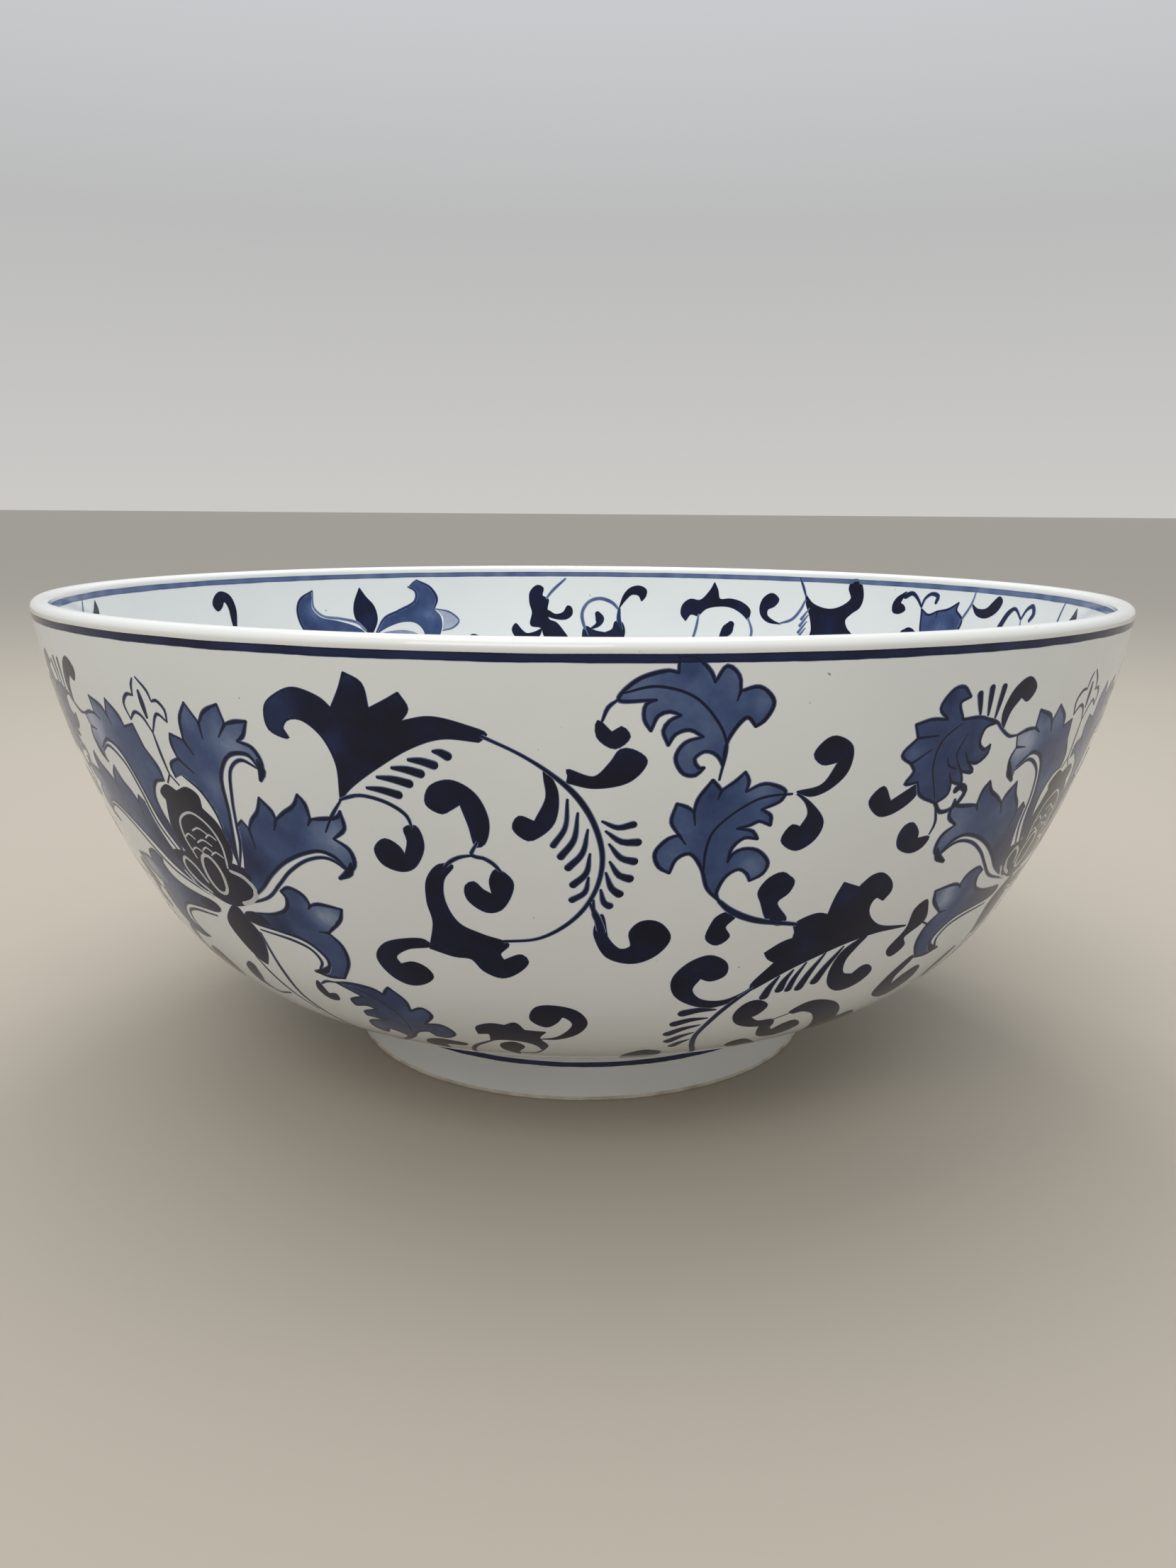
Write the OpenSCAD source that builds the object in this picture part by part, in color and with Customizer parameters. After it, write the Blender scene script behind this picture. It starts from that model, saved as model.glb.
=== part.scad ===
// Porcelain serving bowl: a wide, deep, round bowl on a low foot ring, with a rounded lip and
// thin cobalt lines painted round the rim and the foot.
// Millimetres, +Z up. The origin is the centre of the face that the foot stands on.

/* [Bowl] */
// Diameter over the lip
rim_d = 400; // [380:5:440]
// Height from the table to the top of the lip
bowl_h = 173; // [165:1:185]
// Thickness of the wall and the floor
wall_t = 6; // [4:0.5:8]
// Diameter of the flat middle of the floor
floor_d = 118; // [104:2:130]
// Height of the floor's underside above the table
floor_lift = 17; // [14:1:20]

/* [Wall curve] */
// Lean of the wall away from upright at the lip, in degrees
lip_lean = 9; // [6:0.5:12]
// Lean where the long upper arc meets the belly arc, in degrees
belly_top_lean = 29; // [26:0.5:32]
// Lean where the belly arc meets the shallow base arc, in degrees
belly_base_lean = 65.5; // [62:0.5:69]
// Radius of the belly arc, outside
belly_r = 90; // [80:1:95]

/* [Lip] */
// Diameter of the rounded lip bead
lip_bead_d = 6.6; // [6:0.2:9]

/* [Foot ring] */
// Outer diameter of the foot where it stands on the table
foot_base_d = 181; // [174:1:190]
// Outer diameter of the foot level with the floor's underside
foot_neck_d = 174; // [168:1:182]
// Width of the foot ring's standing end
foot_base_w = 7.5; // [6:0.5:10]
// Width of the foot ring level with the floor's underside
foot_neck_w = 10; // [8:0.5:12]
// Height of the bare, unglazed end of the foot
bare_edge_h = 1.5; // [1:0.25:2.5]
// Bevel along both sides of the bare edge
bare_edge_bevel = 0.5; // [0.5:0.25:1.5]

/* [Painted lines] */
// Depth of the painted lines in the clay
paint_t = 0.4; // [0.2:0.1:0.8]
// Width of the band round the outside, against the lip
rim_band_w = 2.2; // [1.5:0.1:4]
// Width of the line round the inside
inner_line_w = 2.2; // [1:0.1:3]
// Gap along the wall between the lip and the inside line
inner_line_gap = 0.4; // [0.2:0.1:3]
// Width of the line round the foot
foot_line_w = 1.4; // [0.8:0.1:2.5]
// Height of the middle of the foot line above the table
foot_line_z = 12.5; // [8:0.5:13]

/* [Hidden] */
$fn = 180;
// Overlap that welds the arcs and the floor of the shell into one piece, in degrees and in mm
weld = 0.05;

porcelain = [0.86, 0.87, 0.85];
white_lip = [0.93, 0.93, 0.90];
bare_clay = [0.80, 0.72, 0.60];
cobalt = [0.09, 0.13, 0.34];

// A point of an arc that leans a degrees from upright, on the side facing out and down
function on_arc(c, r, a) = c + r * [cos(a), -sin(a)];

// The lip bead's centre, and the wall's outer edge beside it
lip_r = lip_bead_d / 2;
// Turn between neighbouring points of the bead's half round
lip_step = 7.5;
lip_c = [rim_d / 2 - lip_r, bowl_h - lip_r];
wall_top = on_arc(lip_c, wall_t / 2, lip_lean);

// The outside is three arcs that meet without a corner, from the flat floor up to the lip.
// The span across and the rise that the belly arc leaves over give the other two radii:
//   base_r * base_across + wall_r * wall_across = span
//   base_r * base_up     + wall_r * wall_up     = rise
base_across = cos(belly_base_lean);
base_up = 1 - sin(belly_base_lean);
wall_across = cos(lip_lean) - cos(belly_top_lean);
wall_up = sin(belly_top_lean) - sin(lip_lean);
span = wall_top[0] - floor_d / 2 - belly_r * (cos(belly_top_lean) - cos(belly_base_lean));
rise = wall_top[1] - floor_lift - belly_r * (sin(belly_base_lean) - sin(belly_top_lean));
solve = base_across * wall_up - wall_across * base_up;
base_r = (span * wall_up - wall_across * rise) / solve;
wall_r = (base_across * rise - span * base_up) / solve;

// Centres of the three arcs
base_c = [floor_d / 2, floor_lift + base_r];
belly_c = on_arc(base_c, base_r, belly_base_lean) - belly_r * [cos(belly_base_lean), -sin(belly_base_lean)];
wall_c = wall_top - wall_r * [cos(lip_lean), -sin(lip_lean)];

// Leans at which the painted rim lines end
rim_band_lean = lip_lean + rim_band_w / wall_r * 180 / PI;
inner_r = wall_r - wall_t;
inner_line_top_lean = lip_lean + inner_line_gap / inner_r * 180 / PI;
inner_line_low_lean = inner_line_top_lean + inner_line_w / inner_r * 180 / PI;

// Foot ring: half widths out to each side at height z
function foot_out(z) = (foot_base_d + (foot_neck_d - foot_base_d) * z / floor_lift) / 2;
function foot_in(z) = foot_out(z) - (foot_base_w + (foot_neck_w - foot_base_w) * z / floor_lift);

// Section of a wall that follows an arc between two leans, t thick inwards from radius r
module arc_wall(c, r, t, lean_top, lean_low) {
    far = 2 * r;
    translate(c) intersection() {
        difference() {
            circle(r);
            circle(r - t);
        }
        polygon([[0, 0], on_arc([0, 0], far, lean_top), on_arc([0, 0], far, lean_low)]);
    }
}

// Section of the painted band under the lip, outside
module rim_band_section() {
    arc_wall(wall_c, wall_r, paint_t, lip_lean, rim_band_lean);
}

// Section of the painted line under the lip, inside
module inner_line_section() {
    arc_wall(wall_c, inner_r + paint_t, paint_t, inner_line_top_lean, inner_line_low_lean);
}

// Section of the painted line on the foot, paint_t deep in its sloping side
module foot_line_section() {
    low = foot_line_z - foot_line_w / 2;
    high = foot_line_z + foot_line_w / 2;
    polygon([
        [foot_out(low) - paint_t, low], [foot_out(low), low],
        [foot_out(high), high], [foot_out(high) - paint_t, high]
    ]);
}

// Shell of the bowl: upper wall, belly, base and flat floor
module bowl_body() {
    color(porcelain) rotate_extrude() difference() {
        union() {
            arc_wall(wall_c, wall_r, wall_t, lip_lean, belly_top_lean);
            arc_wall(belly_c, belly_r, wall_t, belly_top_lean - weld, belly_base_lean + weld);
            arc_wall(base_c, base_r, wall_t, belly_base_lean, 90);
            translate([0, floor_lift]) square([floor_d / 2 + weld, wall_t]);
        }
        rim_band_section();
        inner_line_section();
    }
}

// Rounded bead that finishes the top of the wall: the upper half of a round, tilted with the wall
module rim_lip() {
    half_round = [for (turn = [0:lip_step:180]) lip_r * [cos(turn), sin(turn)]];
    color(white_lip) rotate_extrude() translate(lip_c) rotate(-lip_lean) polygon(half_round);
}

// Glazed ring under the shell, from the bare edge up to the base arc
module foot_ring() {
    color(porcelain) rotate_extrude() difference() {
        polygon([
            [foot_in(bare_edge_h), bare_edge_h], [foot_out(bare_edge_h), bare_edge_h],
            [foot_out(floor_lift), floor_lift], [foot_out(floor_lift), floor_lift + wall_t],
            [foot_in(floor_lift), floor_lift + wall_t], [foot_in(floor_lift), floor_lift]
        ]);
        translate(base_c) circle(base_r);
        foot_line_section();
    }
}

// Unglazed end of the foot, bevelled on both sides
module bare_foot_edge() {
    color(bare_clay) rotate_extrude() polygon([
        [foot_in(0) + bare_edge_bevel, 0], [foot_out(0) - bare_edge_bevel, 0],
        [foot_out(bare_edge_bevel), bare_edge_bevel], [foot_out(bare_edge_h), bare_edge_h],
        [foot_in(bare_edge_h), bare_edge_h], [foot_in(bare_edge_bevel), bare_edge_bevel]
    ]);
}

// Painted band round the outside, close under the lip
module outer_rim_band() {
    color(cobalt) rotate_extrude() rim_band_section();
}

// Painted line round the inside, close under the lip
module inner_rim_line() {
    color(cobalt) rotate_extrude() inner_line_section();
}

// Painted line round the outside of the foot ring
module foot_line() {
    color(cobalt) rotate_extrude() foot_line_section();
}

bowl_body();
rim_lip();
foot_ring();
bare_foot_edge();
outer_rim_band();
inner_rim_line();
foot_line();
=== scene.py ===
import math

import bpy
from mathutils import Matrix, Vector, noise
from mathutils.geometry import delaunay_2d_cdt


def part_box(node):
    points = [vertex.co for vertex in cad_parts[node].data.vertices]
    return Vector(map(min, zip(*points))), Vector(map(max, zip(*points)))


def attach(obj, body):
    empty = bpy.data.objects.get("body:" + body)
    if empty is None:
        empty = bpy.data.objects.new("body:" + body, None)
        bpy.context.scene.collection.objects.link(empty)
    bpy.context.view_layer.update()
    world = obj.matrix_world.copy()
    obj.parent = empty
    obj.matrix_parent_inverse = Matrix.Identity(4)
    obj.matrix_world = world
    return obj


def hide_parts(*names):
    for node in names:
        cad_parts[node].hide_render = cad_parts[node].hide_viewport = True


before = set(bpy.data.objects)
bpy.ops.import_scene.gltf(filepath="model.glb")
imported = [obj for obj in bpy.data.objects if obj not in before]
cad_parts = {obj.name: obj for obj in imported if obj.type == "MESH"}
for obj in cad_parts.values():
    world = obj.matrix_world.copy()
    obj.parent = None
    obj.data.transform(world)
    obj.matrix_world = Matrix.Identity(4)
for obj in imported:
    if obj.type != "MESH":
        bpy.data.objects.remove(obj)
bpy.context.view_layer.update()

# Lengths below are in millimetres and angles in degrees, unless a name says otherwise.
MM = 0.001

# ---------------------------------------------------------------- the bowl's shape, partly from the CAD parts


def low(node, axis):
    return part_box(node)[0][axis] / MM


def high(node, axis):
    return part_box(node)[1][axis] / MM


X, Z = 0, 2
RIM_R = high("rim_lip", X)
BOWL_H = high("rim_lip", Z)
FLOOR_LIFT = low("bowl_body", Z)
EDGE_H = high("bare_foot_edge", Z)
WALL_T = 6.0
FLOOR_R = 59.0
LIP_R = 3.3
LIP_LEAN = math.radians(9)
BELLY_TOP_LEAN = math.radians(29)
BELLY_BASE_LEAN = math.radians(65.5)
UNDER_LEAN = math.radians(90)
BELLY_R = 90.0
FOOT_BASE_R = 90.5
FOOT_NECK_R = 87.0
FOOT_BASE_W = 7.5
FOOT_NECK_W = 10.0
EDGE_BEVEL = 0.5
FOOT_FILLET = 0.7


def lean_point(centre, radius, lean):
    """The (radius, height) of a point of an arc that faces out and down by its lean."""
    return (centre[0] + radius * math.cos(lean), centre[1] - radius * math.sin(lean))


LIP_C = (RIM_R - LIP_R, BOWL_H - LIP_R)


def wall_arcs():
    """The outside as three tangent arcs, (centre, radius, first lean, last lean), from the lip down."""
    top = lean_point(LIP_C, WALL_T / 2, LIP_LEAN)
    across_base = math.cos(BELLY_BASE_LEAN)
    up_base = 1 - math.sin(BELLY_BASE_LEAN)
    across_wall = math.cos(LIP_LEAN) - math.cos(BELLY_TOP_LEAN)
    up_wall = math.sin(BELLY_TOP_LEAN) - math.sin(LIP_LEAN)
    span = top[0] - FLOOR_R - BELLY_R * (math.cos(BELLY_TOP_LEAN) - math.cos(BELLY_BASE_LEAN))
    rise = top[1] - FLOOR_LIFT - BELLY_R * (math.sin(BELLY_BASE_LEAN) - math.sin(BELLY_TOP_LEAN))
    share = across_base * up_wall - across_wall * up_base
    base_r = (span * up_wall - across_wall * rise) / share
    wall_r = (across_base * rise - span * up_base) / share
    base_c = (FLOOR_R, FLOOR_LIFT + base_r)
    belly_c = lean_point(lean_point(base_c, base_r, BELLY_BASE_LEAN), -BELLY_R, BELLY_BASE_LEAN)
    wall_c = lean_point(top, -wall_r, LIP_LEAN)
    return [
        (wall_c, wall_r, LIP_LEAN, BELLY_TOP_LEAN), (belly_c, BELLY_R, BELLY_TOP_LEAN, BELLY_BASE_LEAN),
        (base_c, base_r, BELLY_BASE_LEAN, UNDER_LEAN),
    ]


ARCS = wall_arcs()


def wall_length(inset):
    return sum((radius - inset) * (end - start) for _, radius, start, end in ARCS)


def wall_place(inset):
    """A function giving (radius, height, lean) at a distance down the wall, inset from its outside."""
    def place(down):
        for centre, radius, start, end in ARCS:
            r = radius - inset
            if down <= r * (end - start) or end == UNDER_LEAN:
                lean = start + down / r
                return (*lean_point(centre, r, lean), lean)
            down -= r * (end - start)
    return place


class Face:
    """A round face of the bowl. Its places are degrees round the bowl and millimetres down."""

    def __init__(self, place, facing, clear):
        self.place = place
        self.facing = facing
        self.clear = clear  # how far the edge of paint stands off the glaze

    def point(self, turn, down, lift):
        """The point that stands lift off the face, in metres, and the face's normal there."""
        r, z, lean = self.place(down)
        a = math.radians(turn)
        flat = math.cos(lean)
        normal = Vector((flat * math.sin(a), -flat * math.cos(a), -math.sin(lean))) * self.facing
        return (Vector((r * math.sin(a), -r * math.cos(a), z)) + normal * lift) * MM, normal

    def degree(self, down):
        """Millimetres round the bowl in one degree."""
        return math.radians(self.place(down)[0])


CLEAR = 0.012
INSIDE_CLEAR = 0.03  # more, because the mesh's flat facets stand in front of the inner curve
OUTSIDE = Face(wall_place(0), 1, CLEAR)
INSIDE = Face(wall_place(WALL_T), -1, INSIDE_CLEAR)

# ---------------------------------------------------------------- materials


def new_material(name):
    mat = bpy.data.materials.new(name)
    mat.use_nodes = True
    nodes = mat.node_tree.nodes
    return mat, nodes, mat.node_tree.links, nodes["Principled BSDF"]


def noise_node(nodes, links, scale, detail=3.0, rough=0.55):
    """Noise in the object's own metres."""
    coord = nodes.new("ShaderNodeTexCoord")
    tex = nodes.new("ShaderNodeTexNoise")
    tex.inputs["Scale"].default_value = scale
    tex.inputs["Detail"].default_value = detail
    tex.inputs["Roughness"].default_value = rough
    links.new(coord.outputs["Object"], tex.inputs["Vector"])
    return tex.outputs["Fac"]


def ramp_node(nodes, links, source, stops):
    """A colour ramp through (position, colour) stops."""
    ramp = nodes.new("ShaderNodeValToRGB")
    elements = ramp.color_ramp.elements
    while len(elements) < len(stops):
        elements.new(0.5)
    for element, (place, colour) in zip(elements, stops):
        element.position = place
        element.color = (*colour, 1)
    links.new(source, ramp.inputs["Fac"])
    return ramp.outputs["Color"]


def math_node(nodes, links, operation, a, b):
    node = nodes.new("ShaderNodeMath")
    node.operation = operation
    for socket, value in zip(node.inputs, (a, b)):
        if isinstance(value, (int, float)):
            socket.default_value = value
        else:
            links.new(value, socket)
    return node.outputs["Value"]


def add_bump(nodes, links, shader, layers):
    """Glaze waviness or clay grain: layers of (noise scale, height in metres)."""
    normal = None
    for scale, height in layers:
        bump = nodes.new("ShaderNodeBump")
        bump.inputs["Distance"].default_value = height
        links.new(noise_node(nodes, links, scale), bump.inputs["Height"])
        if normal:
            links.new(normal, bump.inputs["Normal"])
        normal = bump.outputs["Normal"]
    links.new(normal, shader.inputs["Normal"])


GLAZE_WAVES = [(38, 0.00025), (170, 0.00003)]
GLAZE_ROUGHNESS = 0.07
GLAZE_IOR = 1.52
TONE_SCALE = 9
SPECK_SCALE = 420
SPECK_STOPS = [(0.0, (1, 1, 1)), (0.80, (1, 1, 1)), (0.84, (0.45, 0.38, 0.3))]
MIX_A, MIX_B, MIX_RESULT = 6, 7, 2  # a Mix node's sockets for colours


def glaze(name, pale, deep):
    """Clear glossy glaze over porcelain, a little uneven in tone, with a few iron specks."""
    mat, nodes, links, shader = new_material(name)
    tone = ramp_node(nodes, links, noise_node(nodes, links, TONE_SCALE), [(0.3, deep), (0.7, pale)])
    specks = ramp_node(nodes, links, noise_node(nodes, links, SPECK_SCALE, detail=1.0), SPECK_STOPS)
    mix = nodes.new("ShaderNodeMix")
    mix.data_type = "RGBA"
    mix.blend_type = "MULTIPLY"
    mix.inputs["Factor"].default_value = 1
    links.new(tone, mix.inputs[MIX_A])
    links.new(specks, mix.inputs[MIX_B])
    links.new(mix.outputs[MIX_RESULT], shader.inputs["Base Color"])
    shader.inputs["Roughness"].default_value = GLAZE_ROUGHNESS
    shader.inputs["IOR"].default_value = GLAZE_IOR
    add_bump(nodes, links, shader, GLAZE_WAVES)
    return mat


INK_IOR = 1.34  # lower than the glaze's, so that reflections don't wash out the deep blue
POOL_SCALE = 75
INK_STOPS = [
    (0.00, (0.62, 0.64, 0.66)),
    (0.18, (0.36, 0.40, 0.50)),
    (0.38, (0.120, 0.165, 0.290)),
    (0.56, (0.043, 0.074, 0.182)),
    (0.74, (0.011, 0.023, 0.082)),
    (0.90, (0.0035, 0.0065, 0.0320)),
    (1.00, (0.0025, 0.0030, 0.0150)),
]


def ink_material(name, mottle):
    """Cobalt under the glaze. Each piece's "ink" attribute says how thick the paint lies."""
    mat, nodes, links, shader = new_material(name)
    ink = nodes.new("ShaderNodeAttribute")
    ink.attribute_name = "ink"
    cloud = math_node(nodes, links, "SUBTRACT", noise_node(nodes, links, POOL_SCALE, 4.0, 0.6), 0.5)
    pool = math_node(nodes, links, "MULTIPLY", cloud, mottle)
    level = math_node(nodes, links, "ADD", ink.outputs["Fac"], pool)
    links.new(ramp_node(nodes, links, level, INK_STOPS), shader.inputs["Base Color"])
    shader.inputs["Roughness"].default_value = GLAZE_ROUGHNESS
    shader.inputs["IOR"].default_value = INK_IOR
    add_bump(nodes, links, shader, GLAZE_WAVES)
    return mat


STAIN_SCALE = 120
STAIN_STOPS = [(0.3, (0.42, 0.33, 0.24)), (0.55, (0.62, 0.55, 0.45)), (0.75, (0.70, 0.65, 0.56))]
CLAY_GRAIN = [(900, 0.0002)]
CLAY_ROUGHNESS = 0.85


def clay(name):
    """Bare fired porcelain clay, matt, a little stained where it has stood."""
    mat, nodes, links, shader = new_material(name)
    stains = ramp_node(nodes, links, noise_node(nodes, links, STAIN_SCALE, detail=5.0), STAIN_STOPS)
    links.new(stains, shader.inputs["Base Color"])
    shader.inputs["Roughness"].default_value = CLAY_ROUGHNESS
    add_bump(nodes, links, shader, CLAY_GRAIN)
    return mat


WHITE_GLAZE = glaze("white_glaze", (0.74, 0.76, 0.745), (0.68, 0.70, 0.69))
LIP_GLAZE = glaze("lip_glaze", (0.76, 0.76, 0.73), (0.71, 0.71, 0.68))
FOOT_GLAZE = glaze("foot_glaze", (0.74, 0.74, 0.71), (0.66, 0.66, 0.63))
BARE_CLAY = clay("bare_clay")
PATTERN_INK = ink_material("pattern_cobalt", 0.42)
BAND_INK = ink_material("band_cobalt", 0.10)
RESERVE = glaze("reserve_white", (0.56, 0.57, 0.58), (0.44, 0.45, 0.48))

# ---------------------------------------------------------------- pieces of the bowl itself


def add_object(name, data):
    obj = bpy.data.objects.new(name, data)
    bpy.context.scene.collection.objects.link(obj)
    return obj


def add_piece(name, mesh, material, stands_for=()):
    obj = add_object(name, mesh)
    mesh.materials.append(material)
    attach(obj, "root")
    if stands_for:
        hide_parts(*stands_for)


AROUND = 480
ON_AXIS = 1e-6
CREASE = 50


def lathe(name, profile, crease=CREASE):
    """Turns a closed ring of (radius, height) points round the axis, with sharp edges at its creases."""
    verts, faces, rings = [], [], []
    for r, z in profile:
        if r < ON_AXIS:
            rings.append([len(verts)])
            verts.append((0, 0, z * MM))
            continue
        rings.append(list(range(len(verts), len(verts) + AROUND)))
        for k in range(AROUND):
            a = 2 * math.pi * k / AROUND
            verts.append((r * math.cos(a) * MM, r * math.sin(a) * MM, z * MM))
    for one, two in zip(rings, rings[1:] + rings[:1]):
        if len(one) == len(two) == 1:
            continue
        for k in range(AROUND):
            n = (k + 1) % AROUND
            if len(one) == 1:
                faces.append((one[0], two[n], two[k]))
            elif len(two) == 1:
                faces.append((one[k], one[n], two[0]))
            else:
                faces.append((one[k], one[n], two[n], two[k]))
    mesh = bpy.data.meshes.new(name)
    mesh.from_pydata(verts, [], faces)
    mesh.update()
    mesh.shade_smooth()
    mesh.set_sharp_from_angle(angle=math.radians(crease))
    return mesh


WALL_STEP = 2.5
FLOOR_RINGS = 8


def face_points(inset):
    """(radius, height) points down a face of the wall and in over the floor to the axis."""
    length = wall_length(inset)
    place = wall_place(inset)
    count = math.ceil(length / WALL_STEP)
    floor = [(FLOOR_R * k / FLOOR_RINGS, FLOOR_LIFT + inset) for k in range(FLOOR_RINGS)]
    return [place(length * k / count)[:2] for k in range(count + 1)] + floor[::-1]


def make_wall():
    mesh = lathe("glazed_wall", face_points(0) + face_points(WALL_T)[::-1])
    mesh.flip_normals()
    add_piece("glazed_wall", mesh, WHITE_GLAZE, ["bowl_body"])


def smooth_step(t):
    """Eases a share between 0 and 1 at both its ends."""
    return t * t * (3 - 2 * t)


def make_lip():
    """The lip's bead, a half round that thins at both ends to run flush into the wall."""
    steps = 26
    thinned = 0.16  # the share of the half turn over which each end thins
    flush = WALL_T / 2 + 0.04
    root_r, root_drop = flush - 0.3, 0.6  # where the bead's base lies hidden in the wall
    points = []
    for k in range(steps + 1):
        thick = smooth_step(min(1.0, min(k, steps - k) / (thinned * steps)))
        points.append(lean_point(LIP_C, flush + (LIP_R - flush) * thick, LIP_LEAN - math.pi * k / steps))
    for turn in (math.pi, 0):
        r, z = lean_point(LIP_C, root_r, LIP_LEAN - turn)
        points.append((r - root_drop * math.sin(LIP_LEAN), z - root_drop * math.cos(LIP_LEAN)))
    add_piece("rounded_lip", lathe("rounded_lip", points), LIP_GLAZE, ["rim_lip"])


def foot_out(z):
    return FOOT_BASE_R + (FOOT_NECK_R - FOOT_BASE_R) * z / FLOOR_LIFT


def foot_in(z):
    return foot_out(z) - FOOT_BASE_W - (FOOT_NECK_W - FOOT_BASE_W) * z / FLOOR_LIFT


def arc_points(centre, radius, start, end, steps):
    """(radius, height) points of an arc between two angles in degrees."""
    angles = [math.radians(start + (end - start) * k / steps) for k in range(steps + 1)]
    return [(centre[0] + radius * math.cos(a), centre[1] + radius * math.sin(a)) for a in angles]


def fillet_centre(r):
    """The centre, at this radius, of a fillet that touches the underside of the bowl."""
    base_c, base_r = ARCS[-1][:2]
    return (r, base_c[1] - math.sqrt((base_r + FOOT_FILLET) ** 2 - (r - base_c[0]) ** 2))


def make_foot():
    """The glazed foot ring, softened into the base by a fillet outside and inside."""
    outer = fillet_centre(foot_out(FLOOR_LIFT) + FOOT_FILLET)
    inner = fillet_centre(foot_in(FLOOR_LIFT) - FOOT_FILLET)
    inside_wall = FLOOR_LIFT + WALL_T / 2
    outer_rings, inner_rings, arc_steps = (4, 7, 10, 13), (12, 8, 4), 6
    profile = [(foot_in(EDGE_H), EDGE_H), (foot_out(EDGE_H), EDGE_H)]
    profile += [(foot_out(z), z) for z in outer_rings]
    profile += arc_points(outer, FOOT_FILLET, 180, 100, arc_steps)
    profile += [(outer[0], inside_wall), (inner[0], inside_wall)]
    profile += arc_points(inner, FOOT_FILLET, 85, 0, arc_steps)
    profile += [(foot_in(z), z) for z in inner_rings]
    add_piece("glazed_foot", lathe("glazed_foot", profile, 60), FOOT_GLAZE, ["foot_ring"])


def make_foot_rim():
    """The bare edge that the bowl stands on, with both its corners rubbed round."""
    third = EDGE_BEVEL / 3
    corner = [(0, EDGE_H), (0, EDGE_BEVEL), (third, third), (EDGE_BEVEL, 0)]
    inner = [(foot_in(z) + rubbed, z) for rubbed, z in corner]
    outer = [(foot_out(z) - rubbed, z) for rubbed, z in corner]
    mesh = lathe("bare_foot_rim", inner + outer[::-1])
    add_piece("bare_foot_rim", mesh, BARE_CLAY, ["bare_foot_edge"])


# ---------------------------------------------------------------- brush and paint

TIP = "tip"  # marks a sharp point, where a drawn line breaks

# The films' heights over the edge of the paint, and how deep their undersides lie in the glaze.
EDGE_LIFT = 0.012
WASH_LIFT = 0.04
BAND_LIFT = 0.055
SOLID_LIFT = 0.065
STROKE_LIFT = 0.075
RESERVE_LIFT = 0.11
SINK = 0.03

# The usual line, the line round a dark shape, the thinnest brush mark and the width of a soft edge.
LINE = 0.95
SOLID_RIM = 0.55
THINNEST = 0.12
SOFT = 0.26

# The ink's thickness at a soft edge, and a piece's material slots.
FRINGE = 0.1
SOFT_EDGES = (FRINGE, FRINGE)
INK_SLOT, RESERVE_SLOT = 0, 1

# The meshes' steps along a stroke, across it, along an outline and inside it.
STROKE_STEP = 1.2
ACROSS_STEP = 2.2
RING_STEP = 1.3
GRID = 2.6
CAP_TURNS = (30, 56, 80)  # degrees round a stroke's round end
SMALL = 1e-3
FILL_INSIDE = 1  # the triangulation's mode that keeps what lies inside the outline

# How fast the painter's unsteadiness changes from repeat to repeat, with degrees and with millimetres.
HAND_REPEAT = 0.37
HAND_TURN = 0.12
HAND_DOWN = 0.035

# Vector noise starts from the clock unless it has a seed, and the painting has to be the same each run.
HAND_SEED = 1
noise.seed_set(HAND_SEED)


def blend(p, q, u):
    return tuple(a + (b - a) * u for a, b in zip(p, q))


def knot_gap(p, q, degree):
    """The square root of a distance, which keeps a curve from looping between uneven points."""
    return math.sqrt(max(SMALL, math.hypot((p[0] - q[0]) * degree, p[1] - q[1])))


def curve_through(points, degree, step, loop=False):
    """A smooth curve through the points, sampled about every step millimetres."""
    n = len(points)
    out = []
    for k in range(n if loop else n - 1):
        p1, p2 = points[k], points[(k + 1) % n]
        p0 = points[(k - 1) % n] if loop or k else blend(p2, p1, 2)
        p3 = points[(k + 2) % n] if loop or k < n - 2 else blend(p1, p2, 2)
        t1 = knot_gap(p0, p1, degree)
        t2 = t1 + knot_gap(p1, p2, degree)
        t3 = t2 + knot_gap(p2, p3, degree)
        parts = max(2, round((t2 - t1) ** 2 / step))
        for j in range(parts):
            t = t1 + (t2 - t1) * j / parts
            a = blend(p0, p1, t / t1)
            b = blend(p1, p2, (t - t1) / (t2 - t1))
            c = blend(p2, p3, (t - t2) / (t3 - t2))
            d = blend(a, b, t / t2)
            e = blend(b, c, (t - t1) / (t3 - t1))
            out.append(blend(d, e, (t - t1) / (t2 - t1)))
    if not loop:
        out.append(points[-1])
    return out


def runs_of(points, closed):
    """Splits given points at their tips, so that each run can be rounded by itself."""
    tips = [k for k, p in enumerate(points) if len(p) > 2]
    plain = [p[:2] for p in points]
    if not tips:
        return [plain], closed
    if closed:
        plain = plain[tips[0]:] + plain[:tips[0]] + [plain[tips[0]]]
        tips = [k - tips[0] for k in tips] + [len(points)]
    else:
        tips = sorted({0, len(points) - 1, *tips})
    return [plain[a:b + 1] for a, b in zip(tips, tips[1:])], False


def inside_ring(x, y, ring):
    hit = False
    for (x1, y1), (x2, y2) in zip(ring, ring[1:] + ring[:1]):
        if (y1 > y) != (y2 > y) and x < (x2 - x1) * (y - y1) / (y2 - y1) + x1:
            hit = not hit
    return hit


def edge_inks(points, ink):
    """The inks of an outline's two edges, so that it melts into the fill on its inside."""
    area = sum(p[0] * q[1] - q[0] * p[1] for p, q in zip(points, points[1:] + points[:1]))
    return (FRINGE, ink) if area > 0 else (ink, FRINGE)


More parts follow.
